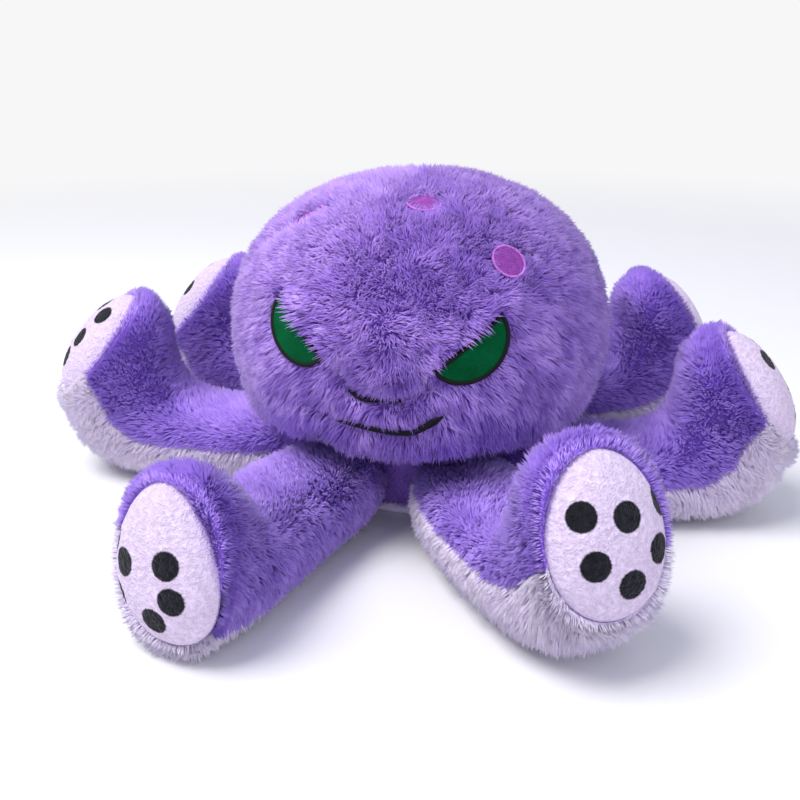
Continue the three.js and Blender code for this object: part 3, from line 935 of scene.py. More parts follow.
# Folds pressed into the head and mounds raised on it, each along a path of azimuths and elevations
foldStations = 24
folds = [
    {"points": [(-26, -9.2), (-20.5, -10.5), (-16.8, -10.9)], "rise": -4.0, "width": 3.5},
    {"points": [(-29, -20.8), (-23, -21.6), (-18, -22.2)], "rise": -4.0, "width": 3.5},
    {"points": [(-64, 38), (-58, 50), (-50, 62)], "rise": -4.0, "width": 5},
    {"points": [(-13, 3), (-8, -2), (-3, -3.5), (5, -3.4), (11, 0)], "rise": -2.6, "width": 4.5},
    {"points": [(-44, 24), (-30, 19), (-17, 6)], "rise": 3.2, "width": 7},
    {"points": [(13, 4), (24, 14), (36, 22)], "rise": 3.2, "width": 7},
    {"points": [(-2, 16), (1, 8), (2, 2)], "rise": 2.8, "width": 9},
    {"points": [(-8, -9), (0, -9.5), (8, -8)], "rise": 2.4, "width": 5.5},
    {"points": [(-14, -20), (2, -22), (18, -18)], "rise": 2.0, "width": 8},
    {"points": [(-38, -6), (-34, -12)], "rise": 2.4, "width": 13},
]


def fromFold(points, fold, count):
    return fromPath(points, smoothPath(headPath(fold["points"], headSet["skinDepth"]), count))


# Where the fur ends and how much shorter it is round what is sewn on the head
trimSet = {
    "eyeEdge": (-0.2, 0.8),
    "eyeTrim": 0.42,
    "eyeReach": 5,
    "browTrim": 0.2,
    "browFrom": 0.5,
    "browWidth": 8,
    "spotEdge": (-0.6, 0.5),
    "spotTrim": 0.45,
    "spotReach": 4,
    "lineEdge": (0.8, 1.7),
    "lowerTrim": 0.4,
    "lineReach": 5,
    "foldTrim": 0.3,
    "foldReach": 4,
}


def browEnd(eye, local):
    # where a brow hangs lower over an eye
    return eye["brow"] * bell(local[:, 0], eye["browAt"], trimSet["browWidth"])


def headFurPlan(points):
    # how densely and how long the fur grows
    s = trimSet
    cover, pile = np.ones(len(points)), np.ones(len(points))
    for eye in eyes:
        place = eyePlace(eye)
        away = eyeClear(place, points)
        local = localPoints(place, points)
        above = local[:, 1] > eyeSet["height"] / 2 + s["browFrom"]
        cover = np.minimum(cover, smoothStep(*s["eyeEdge"], away))
        change = np.where(above, browEnd(eye, local) - s["browTrim"], -s["eyeTrim"])
        pile = pile * (1 + change * bell(np.maximum(away, 0), 0, s["eyeReach"]))
    for spot in spots:
        away = np.linalg.norm(points - spotCentre(spot), axis=1) - spotSet["radius"]
        cover = np.minimum(cover, smoothStep(*s["spotEdge"], away))
        trim = s["spotTrim"] * (1 - spot["hidden"])
        pile = pile * (1 - trim * bell(np.maximum(away, 0), 0, s["spotReach"]))
    for line in mouthLines:
        away, above = fromFold(points, line, mouthSet["furStations"])
        cover = np.minimum(cover, smoothStep(*s["lineEdge"], away))
        cut = np.where(above > 0, line["trim"], s["lowerTrim"])
        pile = pile * (1 - cut * bell(away, 0, s["lineReach"]))
    for fold in folds:
        if fold["rise"] < 0:
            away, _ = fromFold(points, fold, foldStations)
            pile = pile * (1 - s["foldTrim"] * bell(away, 0, s["foldReach"]))
    return cover, pile


def shapeHead(points, normals):
    # slow unevenness of the stuffing, with the folds and mounds
    s = headSet
    moved = np.array([mathNoise.noise(Vector(p) / s["bumpScale"]) for p in points]) * s["bump"]
    for fold in folds:
        away, _ = fromFold(points, fold, foldStations)
        moved = moved + fold["rise"] * bell(away, 0, fold["width"])
    for line in mouthLines:
        away, _ = fromFold(points, line, mouthSet["furStations"])
        moved = moved - mouthSet["press"] * bell(away, 0, mouthSet["pressWidth"])
    return points + normals * moved[:, None]


# Zones of the head, in degrees from the middle of the face and millimetres above the ground. A round zone has
# the middle and width of both, the cheeks those of height, and the other pairs run from nothing to full.
zoneSet = {
    "brows": (0, 30, 112, 17),
    "nose": (0, 18, 108, 22),
    "muzzle": (0, 18, 94, 9),
    # the lower left cheek, where a painted highlight goes
    "litCheekPatch": (-32, 15, 82, 12),
    "frontWidth": 75,
    "cheekHeight": (100, 45),
    "foreheadHeight": (118, 136),
    "foreheadSide": (-35, 0),
    "foreheadLeast": 0.35,
    "rimHeight": (80, 68),
}


def headZones(azimuths, height):
    s = zoneSet
    degrees = np.degrees((azimuths + math.pi) % (2 * math.pi) - math.pi)
    zones = {"degrees": degrees, "front": bell(degrees, 0, s["frontWidth"], 4)}
    for name in ("brows", "nose", "muzzle", "litCheekPatch"):
        aside, width, middle, reach = s[name]
        zones[name] = bell(degrees, aside, width) * bell(height, middle, reach)
    zones["cheeks"] = zones["front"] * bell(height, *s["cheekHeight"])
    side = s["foreheadLeast"] + (1 - s["foreheadLeast"]) * smoothStep(*s["foreheadSide"], degrees)
    zones["forehead"] = zones["front"] * smoothStep(*s["foreheadHeight"], height) * side
    zones["rim"] = smoothStep(*s["rimHeight"], height)
    return zones


# How the head's fur lies. The leans are shares of its length.
lieSet = {
    "partingWidth": 13,
    "partingWave": 5,
    "waveHeight": 7,
    "browAside": 0.42,
    "cheekAside": 0.28,
    "fall": 0.52,
    "foreheadLess": 0.7,
    "browLess": 0.5,
    "crownHeight": (150, 180),
    "crownLess": 0.5,
    "underHeight": (80, 60),
    "underMore": 0.35,
    "browAbove": 4,
    "browReach": 5,
    "browHalf": 22,
    "browLean": 0.62,
    "browEndLean": 0.35,
    "spotGap": 2,
    "spotReach": 4,
    "spotLean": 0.85,
}


def headLie(points, azimuths, normals, zones):
    s = lieSet
    height = points[:, 2]
    sideways = np.stack([np.cos(azimuths), np.sin(azimuths), np.zeros_like(azimuths)], 1)
    down = unit(np.cross(sideways, normals))
    wave = s["partingWave"] * np.sin(height / s["waveHeight"])
    parting = np.tanh((zones["degrees"] - wave) / s["partingWidth"])
    aside = parting * (s["browAside"] * zones["brows"] + s["cheekAside"] * zones["cheeks"])
    fall = s["fall"] * (1 - s["foreheadLess"] * zones["forehead"])
    fall = fall * (1 - s["browLess"] * zones["brows"] * np.abs(parting))
    fall = fall * (1 - s["crownLess"] * smoothStep(*s["crownHeight"], height))
    fall = fall * (1 + s["underMore"] * smoothStep(*s["underHeight"], height))
    comb = down * fall[:, None] + sideways * aside[:, None]
    for eye in eyes:  # the brows hang over the eyes' upper edges
        place = eyePlace(eye)
        local = localPoints(place, points)
        over = local[:, 1] - eyeSet["height"] / 2
        near = bell(over, s["browAbove"], s["browReach"]) * bell(local[:, 0], 0, s["browHalf"], 4)
        near = near * (np.abs(local[:, 2]) < eyeSet["nearby"])
        toEye = -np.array(place)[:3, 1]
        lean = near * (s["browLean"] + s["browEndLean"] * browEnd(eye, local))
        comb = comb * (1 - near[:, None]) + toEye * lean[:, None]
    for spot in spots:  # and the fur closes in over the spots
        inward = spotCentre(spot) - points
        away = np.linalg.norm(inward, axis=1)
        near = bell(away - spotSet["radius"], s["spotGap"], s["spotReach"]) * spot["hidden"]
        comb = comb * (1 - near[:, None]) + unit(inward) * s["spotLean"] * near[:, None]
    return comb


# What the zones add to the fur's wildness, length and tone. The tone holds painted shade on the chin, under
# the nose, on the right side and in waves on the cheeks, and a painted highlight on the left cheek
furAndPaintedShadeSet = {
    "wild": {"forehead": 1, "cheeks": -0.2, "nose": 1.3, "rim": 0.4},
    "pile": {"forehead": -0.26, "rim": 0.15},
    "tone": 0.14,
    "foreheadTone": -0.46,
    "foreheadFrom": (-28, -8),
    "foreheadTo": (38, 60),
    # painted shade under the nose, above the mouth
    "muzzlePaintedShade": -0.3,
    # painted shade on the chin under the mouth, fading out towards the far left
    "chinPaintedShade": -0.46,
    "chinFrom": (-38, -12),
    # painted shade on the head's right side, away from the key light
    "rightPaintedShade": -0.26,
    "rightFrom": (35, 60),
    # painted highlight on the lower left cheek, towards the key light
    "cheekPaintedLight": 0.24,
    # painted light and shade of fur waves on the cheeks, laid out by noise
    "clumpPaintedShade": 0.75,
    "clumpSize": 6.5,
}


def headFurAndPaintedShade(points, zones):
    s = furAndPaintedShadeSet
    degrees = zones["degrees"]
    wild, pile = [sum([by * zones[name] for name, by in s[kind].items()], 1) for kind in ("wild", "pile")]
    middle = smoothStep(*s["foreheadFrom"], degrees) * (1 - smoothStep(*s["foreheadTo"], degrees))
    # tone with painted shade and a painted highlight, besides the forehead's darker patch
    tint = s["tone"] + s["foreheadTone"] * zones["forehead"] * middle + s["muzzlePaintedShade"] * zones["muzzle"]
    tint = tint + s["chinPaintedShade"] * zones["front"] * zones["rim"] * smoothStep(*s["chinFrom"], degrees)
    tint = tint + s["rightPaintedShade"] * smoothStep(*s["rightFrom"], degrees) + s["cheekPaintedLight"] * zones["litCheekPatch"]
    # painted light and shade of fur waves on the cheeks
    clumps = np.array([mathNoise.noise(Vector(p) / s["clumpSize"]) for p in points])
    return wild, pile, tint + s["clumpPaintedShade"] * zones["cheeks"] * (1 - zones["forehead"]) * clumps


headFurSet = {
    "perSquareCm": 207,
    "length": 9.0,
    "width": 0.44,
    "wildness": 0.42,
    "tuft": 3.8,
    "tuftPull": 0.3,
    "swirl": 12.0,
}
headQuarters = {
    "Front": (-45, 45, ["head_front_fur"]),
    "Right": (45, 135, []),
    "Back": (135, 225, ["head_rear_fur"]),
    "Left": (225, 315, []),
}


def makeHead():
    s = headSet
    rows, angles = spin(headProfile(s["skinDepth"]), s["columns"])
    count, columns = rows.shape[:2]
    points = rows.reshape(-1, 3)
    skin = meshObject("headGrowth", points, gridFaces(count, columns))
    facesOutward(skin)
    normals = vertexNormals(skin)
    removeObject(skin)
    azimuths = np.tile(angles, count)
    zones = headZones(azimuths, points[:, 2])
    cover, pile = headFurPlan(points)
    wild, shorter, tint = headFurAndPaintedShade(points, zones)
    comb = headLie(points, azimuths, normals, zones)
    radius = np.hypot(points[:, 0], points[:, 1])
    underneath = (points[:, 2] < s["ceiling"] + s["skinDepth"] + s["underBand"]) & (radius < s["riseStart"])
    cover = np.where(underneath, s["underCover"] * cover, cover)
    pile = np.where(underneath, s["underPile"], pile * shorter)
    shaped = np.where(underneath[:, None], points, shapeHead(points, normals))
    plan = {"cover": cover, "pile": pile, "wild": wild, "tint": tint, "comb": comb, "turnTo": comb * 0}
    for quarter, (name, (low, high, nodes)) in enumerate(headQuarters.items()):
        kept = []
        for i in range(count - 1):
            for j in range(columns):
                if ((j + 0.5) * 360 / columns - low) % 360 < high - low:
                    a, b = i * columns + j, i * columns + (j + 1) % columns
                    kept.append((a, a + columns, b + columns, b))
        part = meshObject("growth" + name, shaped, kept)
        fur = growFur("headFur" + name, part, plan, headFurSet, headFurLook, seeds["head"] + quarter)
        removeObject(part)
        settle(fur, "head", "head_fur", *nodes)
    makeHeadBody(shaped.reshape(count, columns, 3))


def makeHeadBody(rows):
    # the stuffed head under its fur
    step = headSet["bodyStep"]
    points, faces = closedTube(np.concatenate([rows[:-1:step, ::step], rows[-1:, ::step]]))
    body = meshObject("headBody", points, faces, [headClothLook])
    facesOutward(body)
    settle(body, "head", "head_fur", "head_stuffing")


makeHead()
print("head made")

# Base: the flat panel under the stem, sewn in round its edge and a little hollow below
baseSet = {
    "radius": 48.0,
    "low": 0.3,
    "high": 5.7,
    "edge": 2.6,
    "edgeStations": 9,
    "poleRadius": 0.4,
    "ringShare": 0.5,
    "hollow": (0.5, 0.3),
    "columns": 96,
    "fill": 0.8,
}


def makeBase():
    s = baseSet
    half = (s["high"] - s["low"]) / 2
    ring = s["radius"] * s["ringShare"]
    profile = [(s["poleRadius"], s["low"] + s["hollow"][0]), (ring, s["low"] + s["hollow"][1])]
    for turn in np.linspace(-math.pi / 2, math.pi / 2, s["edgeStations"]):
        reach = s["radius"] - s["edge"] * (1 - math.cos(turn))
        profile.append((reach, s["low"] + half + half * math.sin(turn)))
    profile += [(ring, s["high"]), (s["poleRadius"], s["high"])]
    rows, _ = spin(profile, s["columns"])
    points, faces = closedTube(rows)
    panel = meshObject("basePanel", points, faces, [lavenderClothLook])
    facesOutward(panel)
    settle(panel, "head", "lavender_fur", "base_panel")


makeBase()
print("base made")


# Pieces sewn on the head
sewingSet = {"reach": (-40.0, 30.0), "halvings": 26}


def headNormals(points):
    s = headSet
    n = s["roundness"]
    across = np.hypot(points[:, 0], points[:, 1])
    rise = points[:, 2] - s["centreHeight"]
    outward = (across / s["radius"]) ** (n - 1) / s["radius"]
    upward = np.sign(rise) * (np.abs(rise) / s["halfHeight"]) ** (n - 1) / s["halfHeight"]
    flat = points[:, :2] / np.maximum(across, 1e-6)[:, None] * outward[:, None]
    return unit(np.hstack([flat, upward[:, None]]))


def ontoHead(points, way, depth):
    # slides points along one direction until they lie on the head's outline at a depth
    s = headSet
    n = s["roundness"]
    low, high = [np.full(len(points), end) for end in sewingSet["reach"]]
    for _ in range(sewingSet["halvings"]):
        middle = (low + high) / 2
        spots = points + middle[:, None] * way
        across = np.hypot(spots[:, 0], spots[:, 1]) / (s["radius"] - depth)
        rise = np.abs(spots[:, 2] - s["centreHeight"]) / (s["halfHeight"] - depth)
        outside = across**n + rise**n > 1
        high = np.where(outside, middle, high)
        low = np.where(outside, low, middle)
    return points + low[:, None] * way


def ontoPlace(place, flat, depth):
    # flat holds points in the plane of a piece's own frame
    turn = np.array(place)
    points = flat[:, :1] * turn[:3, 0] + flat[:, 1:2] * turn[:3, 1] + turn[:3, 3]
    return ontoHead(points, turn[:3, 2], depth)


# Rings of a plate from its lower edge over the top, each as a share of its outline and of its thickness
plateRings = ((1.0, 0.0), (1.0, 0.55), (0.985, 0.85), *[(share, 1.0) for share in (0.95, 0.8, 0.6, 0.4, 0.2)])


def makePlate(name, outline, middle, place, depth, thickness, material):
    rows = []
    for share, rise in plateRings:
        lain = ontoPlace(place, middle + (outline - middle) * share, depth)
        rows.append(lain + headNormals(lain) * thickness * (rise - 1))
    centre = ontoPlace(place, middle[None], depth)[0]
    under = centre - headNormals(centre[None])[0] * thickness
    points, faces = closedTube(np.array(rows), (under, centre))
    plate = meshObject(name, points, faces, [material])
    facesOutward(plate)
    return plate


def evenPath(points, step, closed):
    # points at even steps along a path
    points = np.array(points, float)
    if closed:
        points = np.vstack([points, points[:1]])
    gaps = np.linalg.norm(np.diff(points, axis=0), axis=1)
    runs = np.concatenate([[0], np.cumsum(gaps)])
    count = max(4, round(runs[-1] / step))
    wanted = np.linspace(0, runs[-1], count, endpoint=not closed)
    return np.stack([np.interp(wanted, runs, points[:, k]) for k in range(points.shape[1])], 1)


def waysRound(path):
    # the way along a closed path at each of its points
    return unit(np.roll(path, -1, 0) - np.roll(path, 1, 0))


def borderStitches(place, outline, width, step, depth):
    # satin stitches across a band that follows the outline on its inner side
    path = evenPath(outline, step, True)
    ahead = waysRound(path)
    inward = np.stack([-ahead[:, 1], ahead[:, 0]], 1)
    outer, middles, inner = [ontoPlace(place, path + inward * width * share, depth) for share in (0, 0.5, 1)]
    return list(zip(middles, unit(inner - outer), headNormals(middles), np.full(len(path), width)))


def eyeOutline(margin):
    s = eyeSet
    turns = np.linspace(math.pi, 2 * math.pi, s["arcPoints"])
    half, top = s["halfLength"] + margin, s["height"] / 2 + margin
    arc = np.stack([half * np.cos(turns), top + (s["height"] + 2 * margin) * np.sin(turns)], 1)
    across = np.linspace(1, -1, s["topPoints"])[1:-1]
    return np.vstack([arc, np.stack([across * half, np.full(len(across), top)], 1)])


def makeEye(eye, seed):
    s = eyeSet
    place = eyePlace(eye)
    name, node = "eye" + eye["name"], "eye_" + eye["name"].lower()
    middle = np.array([0, s["height"] * s["centreShare"]])
    outline = eyeOutline(-s["feltInset"])
    felt = makePlate(name + "Felt", outline, middle, place, s["sunk"], s["thickness"], feltLook)
    settle(felt, "head", "eye_felt", node + "_felt")
    stitches = borderStitches(place, eyeOutline(0), s["border"], s["stitch"], s["sunk"] - s["borderRise"])
    border = sew(name + "Border", stitches, s["thread"], s["threadHeight"], blackThreadLook, seed)
    settle(border, "head", "black_thread", node + "_border")


def fillRows(radius):
    # rows of stitches across a disc, each row shifted against the last: middle, height and length
    s = spotSet
    rows = []
    for i in range(int(-radius / s["rowGap"]), int(radius / s["rowGap"]) + 1):
        y = i * s["rowGap"]
        half = math.sqrt(max(0, radius**2 - y**2))
        start = -half - s["fillStitch"] * ((i * s["rowShift"]) % 1)
        while start < half:
            low, high = max(start, -half), min(start + s["fillStitch"], half)
            if high - low > s["fillShortest"]:
                rows.append(((low + high) / 2, y, high - low))
            start += s["fillStitch"]
    return np.array(rows)


def makeSpot(spot, seed):
    s = spotSet
    place = headPlace(spot["azimuth"], spot["elevation"], 0, 0)
    name, node = "spot" + spot["name"], "crown_spot_" + spot["name"].lower()
    turns = np.linspace(0, 2 * math.pi, s["discPoints"], endpoint=False)
    circle = np.stack([np.cos(turns), np.sin(turns)], 1)
    outline = circle * (s["radius"] - s["discInset"])
    disc = makePlate(name, outline, np.zeros(2), place, spot["sunk"], s["thickness"], spotLook)
    settle(disc, "head", "magenta_thread", node)
    rows = fillRows(s["radius"] - s["rim"])
    middles = ontoPlace(place, rows[:, :2], spot["sunk"] - s["fillRise"])
    right, outs = np.array(place)[:3, 0], headNormals(middles)
    fill = list(zip(middles, unit(right - outs * (outs @ right)[:, None]), outs, rows[:, 2]))
    threads = sew(name + "Fill", fill, s["fillThread"], s["fillHeight"], magentaThreadLook, seed)
    settle(threads, "head", "magenta_thread")
    depth = spot["sunk"] - s["rimRise"]
    stitches = borderStitches(place, circle * s["radius"], s["rim"], s["stitch"], depth)
    rim = sew(name + "Rim", stitches, s["thread"], s["threadHeight"], pinkThreadLook, seed + 1)
    settle(rim, "head", "pink_thread", node + "_rim")


def makeMouthLine(line, seed):
    s = mouthSet
    keys = smoothPath(headPath(line["points"], 0), s["stations"])
    path = evenPath([tuple(p) for p in keys], s["stitch"], False)
    share = np.linspace(0, 1, len(path))
    depth, width = [line[key][0] + (line[key][1] - line[key][0]) * share for key in ("sunk", "width")]
    outs = headNormals(path)
    path = path - outs * depth[:, None]
    ahead = unit(np.gradient(path, axis=0))
    width = width * np.minimum(1, s["endWidth"] + np.minimum(share, 1 - share) * s["taper"])
    stitches = list(zip(path, unit(np.cross(outs, ahead)), outs, width))
    sewn = sew("mouthLine" + line["name"], stitches, s["thread"], s["threadHeight"], blackThreadLook, seed)
    settle(sewn, "head", "black_thread", "mouth_line_" + line["name"].lower())


for index, eye in enumerate(eyes):
    makeEye(eye, seeds["eyes"] + index)
for index, spot in enumerate(spots):
    makeSpot(spot, seeds["spots"] + 2 * index)
for index, line in enumerate(mouthLines):
    makeMouthLine(line, seeds["mouth"] + index)
print("face made")

# Arms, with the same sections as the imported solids
armSet = {
    "hingeRadius": 72,
    "hingeHeight": 24,
    "rootRadius": 23,
    "rootEndHalfHeight": 3,
    "rootEndHalfWidth": 16,
    "rootRises": (0.7, 0.93),
    "rootWidths": (0, 0.45, 0.65, 0.8),
    "legTopHeight": 47,
    "legHalfWidth": 34,
    "legShoulder": 95,
    "bendStart": 80,
    "bendLength": 45,
    "legTopEnd": 120,
    "legBottomEnd": 142,
    "instepRise": 1,
    "curl": (0.38, 0.72),
    "bootHalfWidth": 31,
    "instepDrop": 29,
    "instepDepth": 35,
    "toeDepth": 20,
    "toeBulge": 5,
    "toeCrown": 9,
    "toeCrownDepth": 8,
    "heelBulge": 13,
    "heelDepth": 12,
    "heelUnderreach": 6,
    "soleTurn": 0.8,
    "soleTurnDepth": 4.8,
    "soleRim": 2,
    "roundness": 2.4,
    "topColumns": 34,
    "underColumns": 30,
    "steps": 5,
    "furDepth": 6.5,
    "blend": (54, 96),
    "fill": 0.85,
    "insets": (1.6, 2.5, 4, 6, 6.5, 6.5, 6.5, 6.5, 6.5, 5.5, 1.2),
}
padSet = {
    "length": 68,
    "width": 52,
    "gap": 0.3,
    "height": 13.5,
    "domePower": 2.4,
    "domeRoot": 0.6,
    "rings": 42,
    "ringPower": 0.9,
    "columns": 200,
    "nap": 0.34,
    "napScale": 1.3,
    "fineNap": 0.6,
    "fineScale": 0.7,
    "pucker": 0.7,
    "puckerCount": 46,
    "puckerLap": 6,
    "puckerReach": 0.13,
    "edgeFade": 12,
    "seedStep": 37.1,
    "farAway": 99.0,
    "tipAway": 9.0,
    "fill": 0.9,
}
armWords = "name node root bend yaw roll reach height tilt seam seamDrop egg lean".split()
arms = [
    ("FrontLeft", "front_left", -30, 16, -2, 26, 195, 43, 13, 103, 0, 0.14, 0.1),
    ("FrontRight", "front_right", 30, 6, -7, 0, 187, 64, 22, 76, 27, 0.07, 0),
    ("MiddleLeft", "middle_left", -84, -4, 28, 0, 190, 78, 42, 82, 30, 0.07, 0),
    ("MiddleRight", "middle_right", 82, 16, -18, 0, 184, 73, 36, 83, 22, 0.07, 0),
    ("BackLeft", "back_left", -137, 38, 20, 0, 200, 78, 40, 112, 22, 0.07, 0),
    ("BackRight", "back_right", 140, -24, 0, 0, 196, 74, 32, 88, 22, 0.07, 0),
]
arms = [dict(zip(armWords, row)) for row in arms]
armTopFurSet = {
    "perSquareCm": 190,
    "length": 8.0,
    "width": 0.46,
    "wildness": 0.27,
    "tuft": 3.0,
    "tuftPull": 0.14,
    "swirl": 17.0,
}
armUnderFurSet = {
    "perSquareCm": 165,
    "length": 8.8,
    "width": 0.44,
    "wildness": 0.34,
    "tuft": 4.0,
    "tuftPull": 0.2,
    "swirl": 14.0,
}


def bezier(a, b, c, share):
    return a * (1 - share) ** 2 + b * 2 * share * (1 - share) + c * share**2


def armSections(arm):
    s = armSet
    tilt = math.radians(arm["tilt"])

    def flat(x, z):
        return np.array([x, max(z, 0)])

    def sole(along, back):
        return flat(
            arm["reach"] - along * math.sin(tilt) - back * math.cos(tilt),
            arm["height"] + along * math.cos(tilt) - back * math.sin(tilt),
        )

    half = padSet["length"] / 2
    rows = []

    def add(top, bottom, width, boot):
        rows.append([*top, *bottom, width, boot, s["insets"][len(rows)]])

    growing = s["legHalfWidth"] - s["rootEndHalfWidth"]
    widths = [s["rootEndHalfWidth"] + growing * share for share in s["rootWidths"]]
    rises = [s["rootEndHalfHeight"], *[share * s["rootRadius"] for share in s["rootRises"]]]
    for rise, width in zip(rises, widths):
        x = s["hingeRadius"] - math.sqrt(s["rootRadius"] ** 2 - rise**2)
        add(flat(x, s["hingeHeight"] + rise), flat(x, s["hingeHeight"] - rise), width, 0)
    high, low = s["hingeHeight"] + s["rootRadius"], s["hingeHeight"] - s["rootRadius"]
    add(flat(s["hingeRadius"], high), flat(s["hingeRadius"], low), widths[3], 0)
    add(flat(s["legShoulder"], high), flat(s["legShoulder"], 0), s["legHalfWidth"], 0)
    topStart, bottomStart = flat(s["legTopEnd"], s["legTopHeight"]), flat(s["legBottomEnd"], 0)
    toeBack = sole(half + s["toeBulge"], s["toeDepth"])
    heel = sole(-half - s["heelBulge"], s["heelDepth"])
    instep = sole(half - s["instepDrop"], s["instepDepth"])
    topCorner = flat(min(instep[0], toeBack[0]), s["legTopHeight"] + s["instepRise"])
    bottomCorner = flat(heel[0] - s["heelUnderreach"], 0)
    add(topStart, bottomStart, s["legHalfWidth"], 0)
    for i, share in enumerate(s["curl"]):
        boot = (i + 1) / (len(s["curl"]) + 1)
        width = s["legHalfWidth"] + (s["bootHalfWidth"] - s["legHalfWidth"]) * boot
        bottom = bezier(bottomStart, bottomCorner, heel, share)
        add(bezier(topStart, topCorner, toeBack, share), bottom, width, boot)
    add(toeBack, heel, s["bootHalfWidth"], 1)
    add(
        sole(half + s["toeCrown"], s["toeCrownDepth"]),
        sole(-half - s["heelBulge"] * s["soleTurn"], s["soleTurnDepth"]),
        s["bootHalfWidth"],
        1,
    )
    add(sole(half + s["soleRim"], 0), sole(-half - s["soleRim"], 0), padSet["width"] / 2 + s["soleRim"], 1)
    return np.array(rows)


def refined(rows, steps):
    ends = np.vstack([2 * rows[0] - rows[1], rows, 2 * rows[-1] - rows[-2]])
    made = [eased(*ends[k : k + 4], i / steps) for k in range(len(rows) - 1) for i in range(steps)]
    return np.array([*made, rows[-1]])


def legPlan(arm, reach):
    s = armSet
    turn = math.radians(arm["bend"])
    share = min(1, max(0, (reach - s["bendStart"]) / s["bendLength"]))
    heading = turn * share
    bendRadius = s["bendLength"] / turn
    past = max(0, reach - s["bendStart"] - s["bendLength"])
    x = min(reach, s["bendStart"]) + bendRadius * math.sin(heading) + past * math.cos(turn)
    return x, bendRadius * (1 - math.cos(heading)) + past * math.sin(turn), heading


def turned(arm, x, y, z):
    # from an arm's own plan, with x outwards from the middle, to its place on the toy
    root = math.radians(arm["root"])
    toyX = x * math.sin(root) + y * math.cos(root)
    toyY = -x * math.cos(root) + y * math.sin(root)
    return np.stack([toyX, toyY, z], -1)


def seamShift(arm, angles):
    # brings the side seams further down at the boot
    return math.radians(arm["seamDrop"]) * np.sin(angles - math.radians(arm["roll"]))


def armRows(arm, angles):
    s = armSet
    made = []
    for tx, tz, bx, bz, halfWidth, boot, inset in refined(armSections(arm), s["steps"]):
        here = angles + seamShift(arm, angles) * boot
        middle = np.array([(tx + bx) / 2, (max(tz, 0) + max(bz, 0)) / 2])
        up = np.array([tx - bx, max(tz, 0) - max(bz, 0)]) / 2
        length = np.linalg.norm(up)
        up = up / length * (length - inset)
        upShare = softPower(np.cos(here), s["roundness"])
        aside = (halfWidth - inset) * softPower(np.sin(here), s["roundness"])
        planX, planY, heading = legPlan(arm, middle[0])
        heading += math.radians(arm["yaw"]) * boot
        x = planX + up[0] * upShare * math.cos(heading) - aside * math.sin(heading)
        y = planY + up[0] * upShare * math.sin(heading) + aside * math.cos(heading)
        z = np.maximum(middle[1] + up[1] * upShare, min(inset, s["furDepth"]))
        made.append(turned(arm, x, y, z))
    return np.array(made)


def armAngles(arm):
    s = armSet
    near = math.radians(arm["roll"] - arm["seam"])
    far = math.radians(arm["roll"] + arm["seam"])
    top = np.linspace(near, far, s["topColumns"], endpoint=False)
    under = np.linspace(far, near + 2 * math.pi, s["underColumns"], endpoint=False)
    return np.concatenate([top, under])


def swing(piece, arm, node):
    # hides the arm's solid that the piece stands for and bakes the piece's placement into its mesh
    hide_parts("arm_" + arm["node"] + "_" + node)
    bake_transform(piece)


def padPoints(arm, up, aside, out):
    # distances in millimetres up the pad, across it and out of it
    tilt = math.radians(arm["tilt"])
    planX, planY, heading = legPlan(arm, arm["reach"])
    heading += math.radians(arm["yaw"])
    ahead = out * math.cos(tilt) - up * math.sin(tilt)
    x = planX + ahead * math.cos(heading) - aside * math.sin(heading)
    y = planY + ahead * math.sin(heading) + aside * math.cos(heading)
    return turned(arm, x, y, arm["height"] + up * math.cos(tilt) + out * math.sin(tilt))


def padMiddle(arm, out):
    return padPoints(arm, np.zeros(1), np.zeros(1), np.full(1, float(out)))


def padFacing(arm):
    # the direction in which the pad looks
    return unit(padMiddle(arm, 1) - padMiddle(arm, 0))


def padPlan(arm, share, turns, margin=0.0):
    # an egg, narrower at the toe, whose length may lean aside
    up = share * np.cos(turns) * (padSet["length"] / 2 + margin)
    aside = share * np.sin(turns) * (padSet["width"] / 2 + margin) * (1 - arm["egg"] * np.cos(turns))
    return up, aside - arm["lean"] * up


# How the arms' fur changes on its way out. The rim and the brink, nearest the pad, count rows from the last.
armPlanSet = {
    "edgeOut": 0.1,
    "rim": (13, 7),
    "brink": (6, 3),
    "bootRows": 12,
    "bootPile": 0.84,
    "leastPile": 0.3,
    "brinkPile": -0.32,
    "lyingOn": (0.97, 0.8),
    "lyingCover": 0.2,
    "root": (0.06, 0.16),
    "rootCover": 0.4,
    "rimCover": 0.3,
    "rimAlong": 0.5,
    "brinkOut": 0.4,
    "rimWild": -0.4,
    "tone": 0.02,
    # painted light: fur facing up lighter, fur facing down darker
    "topPaintedLight": 0.12,
    "brinkTone": 0.12,
    "rimFacing": 0.4,
    "brinkFacing": -0.8,
}
armFurs = [
    {
        "part": "TopFur",
        "node": "top_fur",
        "slot": "arm_fur",
        "look": armFurLook,
        "fur": armTopFurSet,
        "down": 0.22,
        "along": 0.4,
        # painted shade round the pad
        "rimPaintedShade": 0.6,
        "seed": 0,
    },
    {
        "part": "UnderFur",
        "node": "underside_fur",
        "slot": "lavender_fur",
        "look": lavenderFurLook,
        "fur": armUnderFurSet,
        "down": 0.42,
        "along": 0.25,
        "rimPaintedShade": 0,
        "seed": seeds["underFur"],
    },
]


def armBody(arm):
    # the stuffed arm that the fur grows on, closed at the root and behind the pad
    angles = armAngles(arm)
    rows = armRows(arm, angles)
    plan = padPlan(arm, 1.0, angles + seamShift(arm, angles))
    edge = padPoints(arm, *plan, np.full(len(angles), armPlanSet["edgeOut"]))
    rows = np.concatenate([rows, [(rows[-1] + edge) / 2, edge]])
    count, columns = rows.shape[:2]
    points, faces = closedTube(rows)
    looks = [int(j >= armSet["topColumns"]) for j in range(columns)]
    looks = looks * (count - 1) + [look for look in looks for _ in range(2)]
    body = meshObject("arm" + arm["name"] + "Body", points, faces, [armClothLook, lavenderClothLook])
    body.data.polygons.foreach_set("material_index", looks)
    facesOutward(body)
    return body, rows, points, faces[: (count - 1) * columns], looks


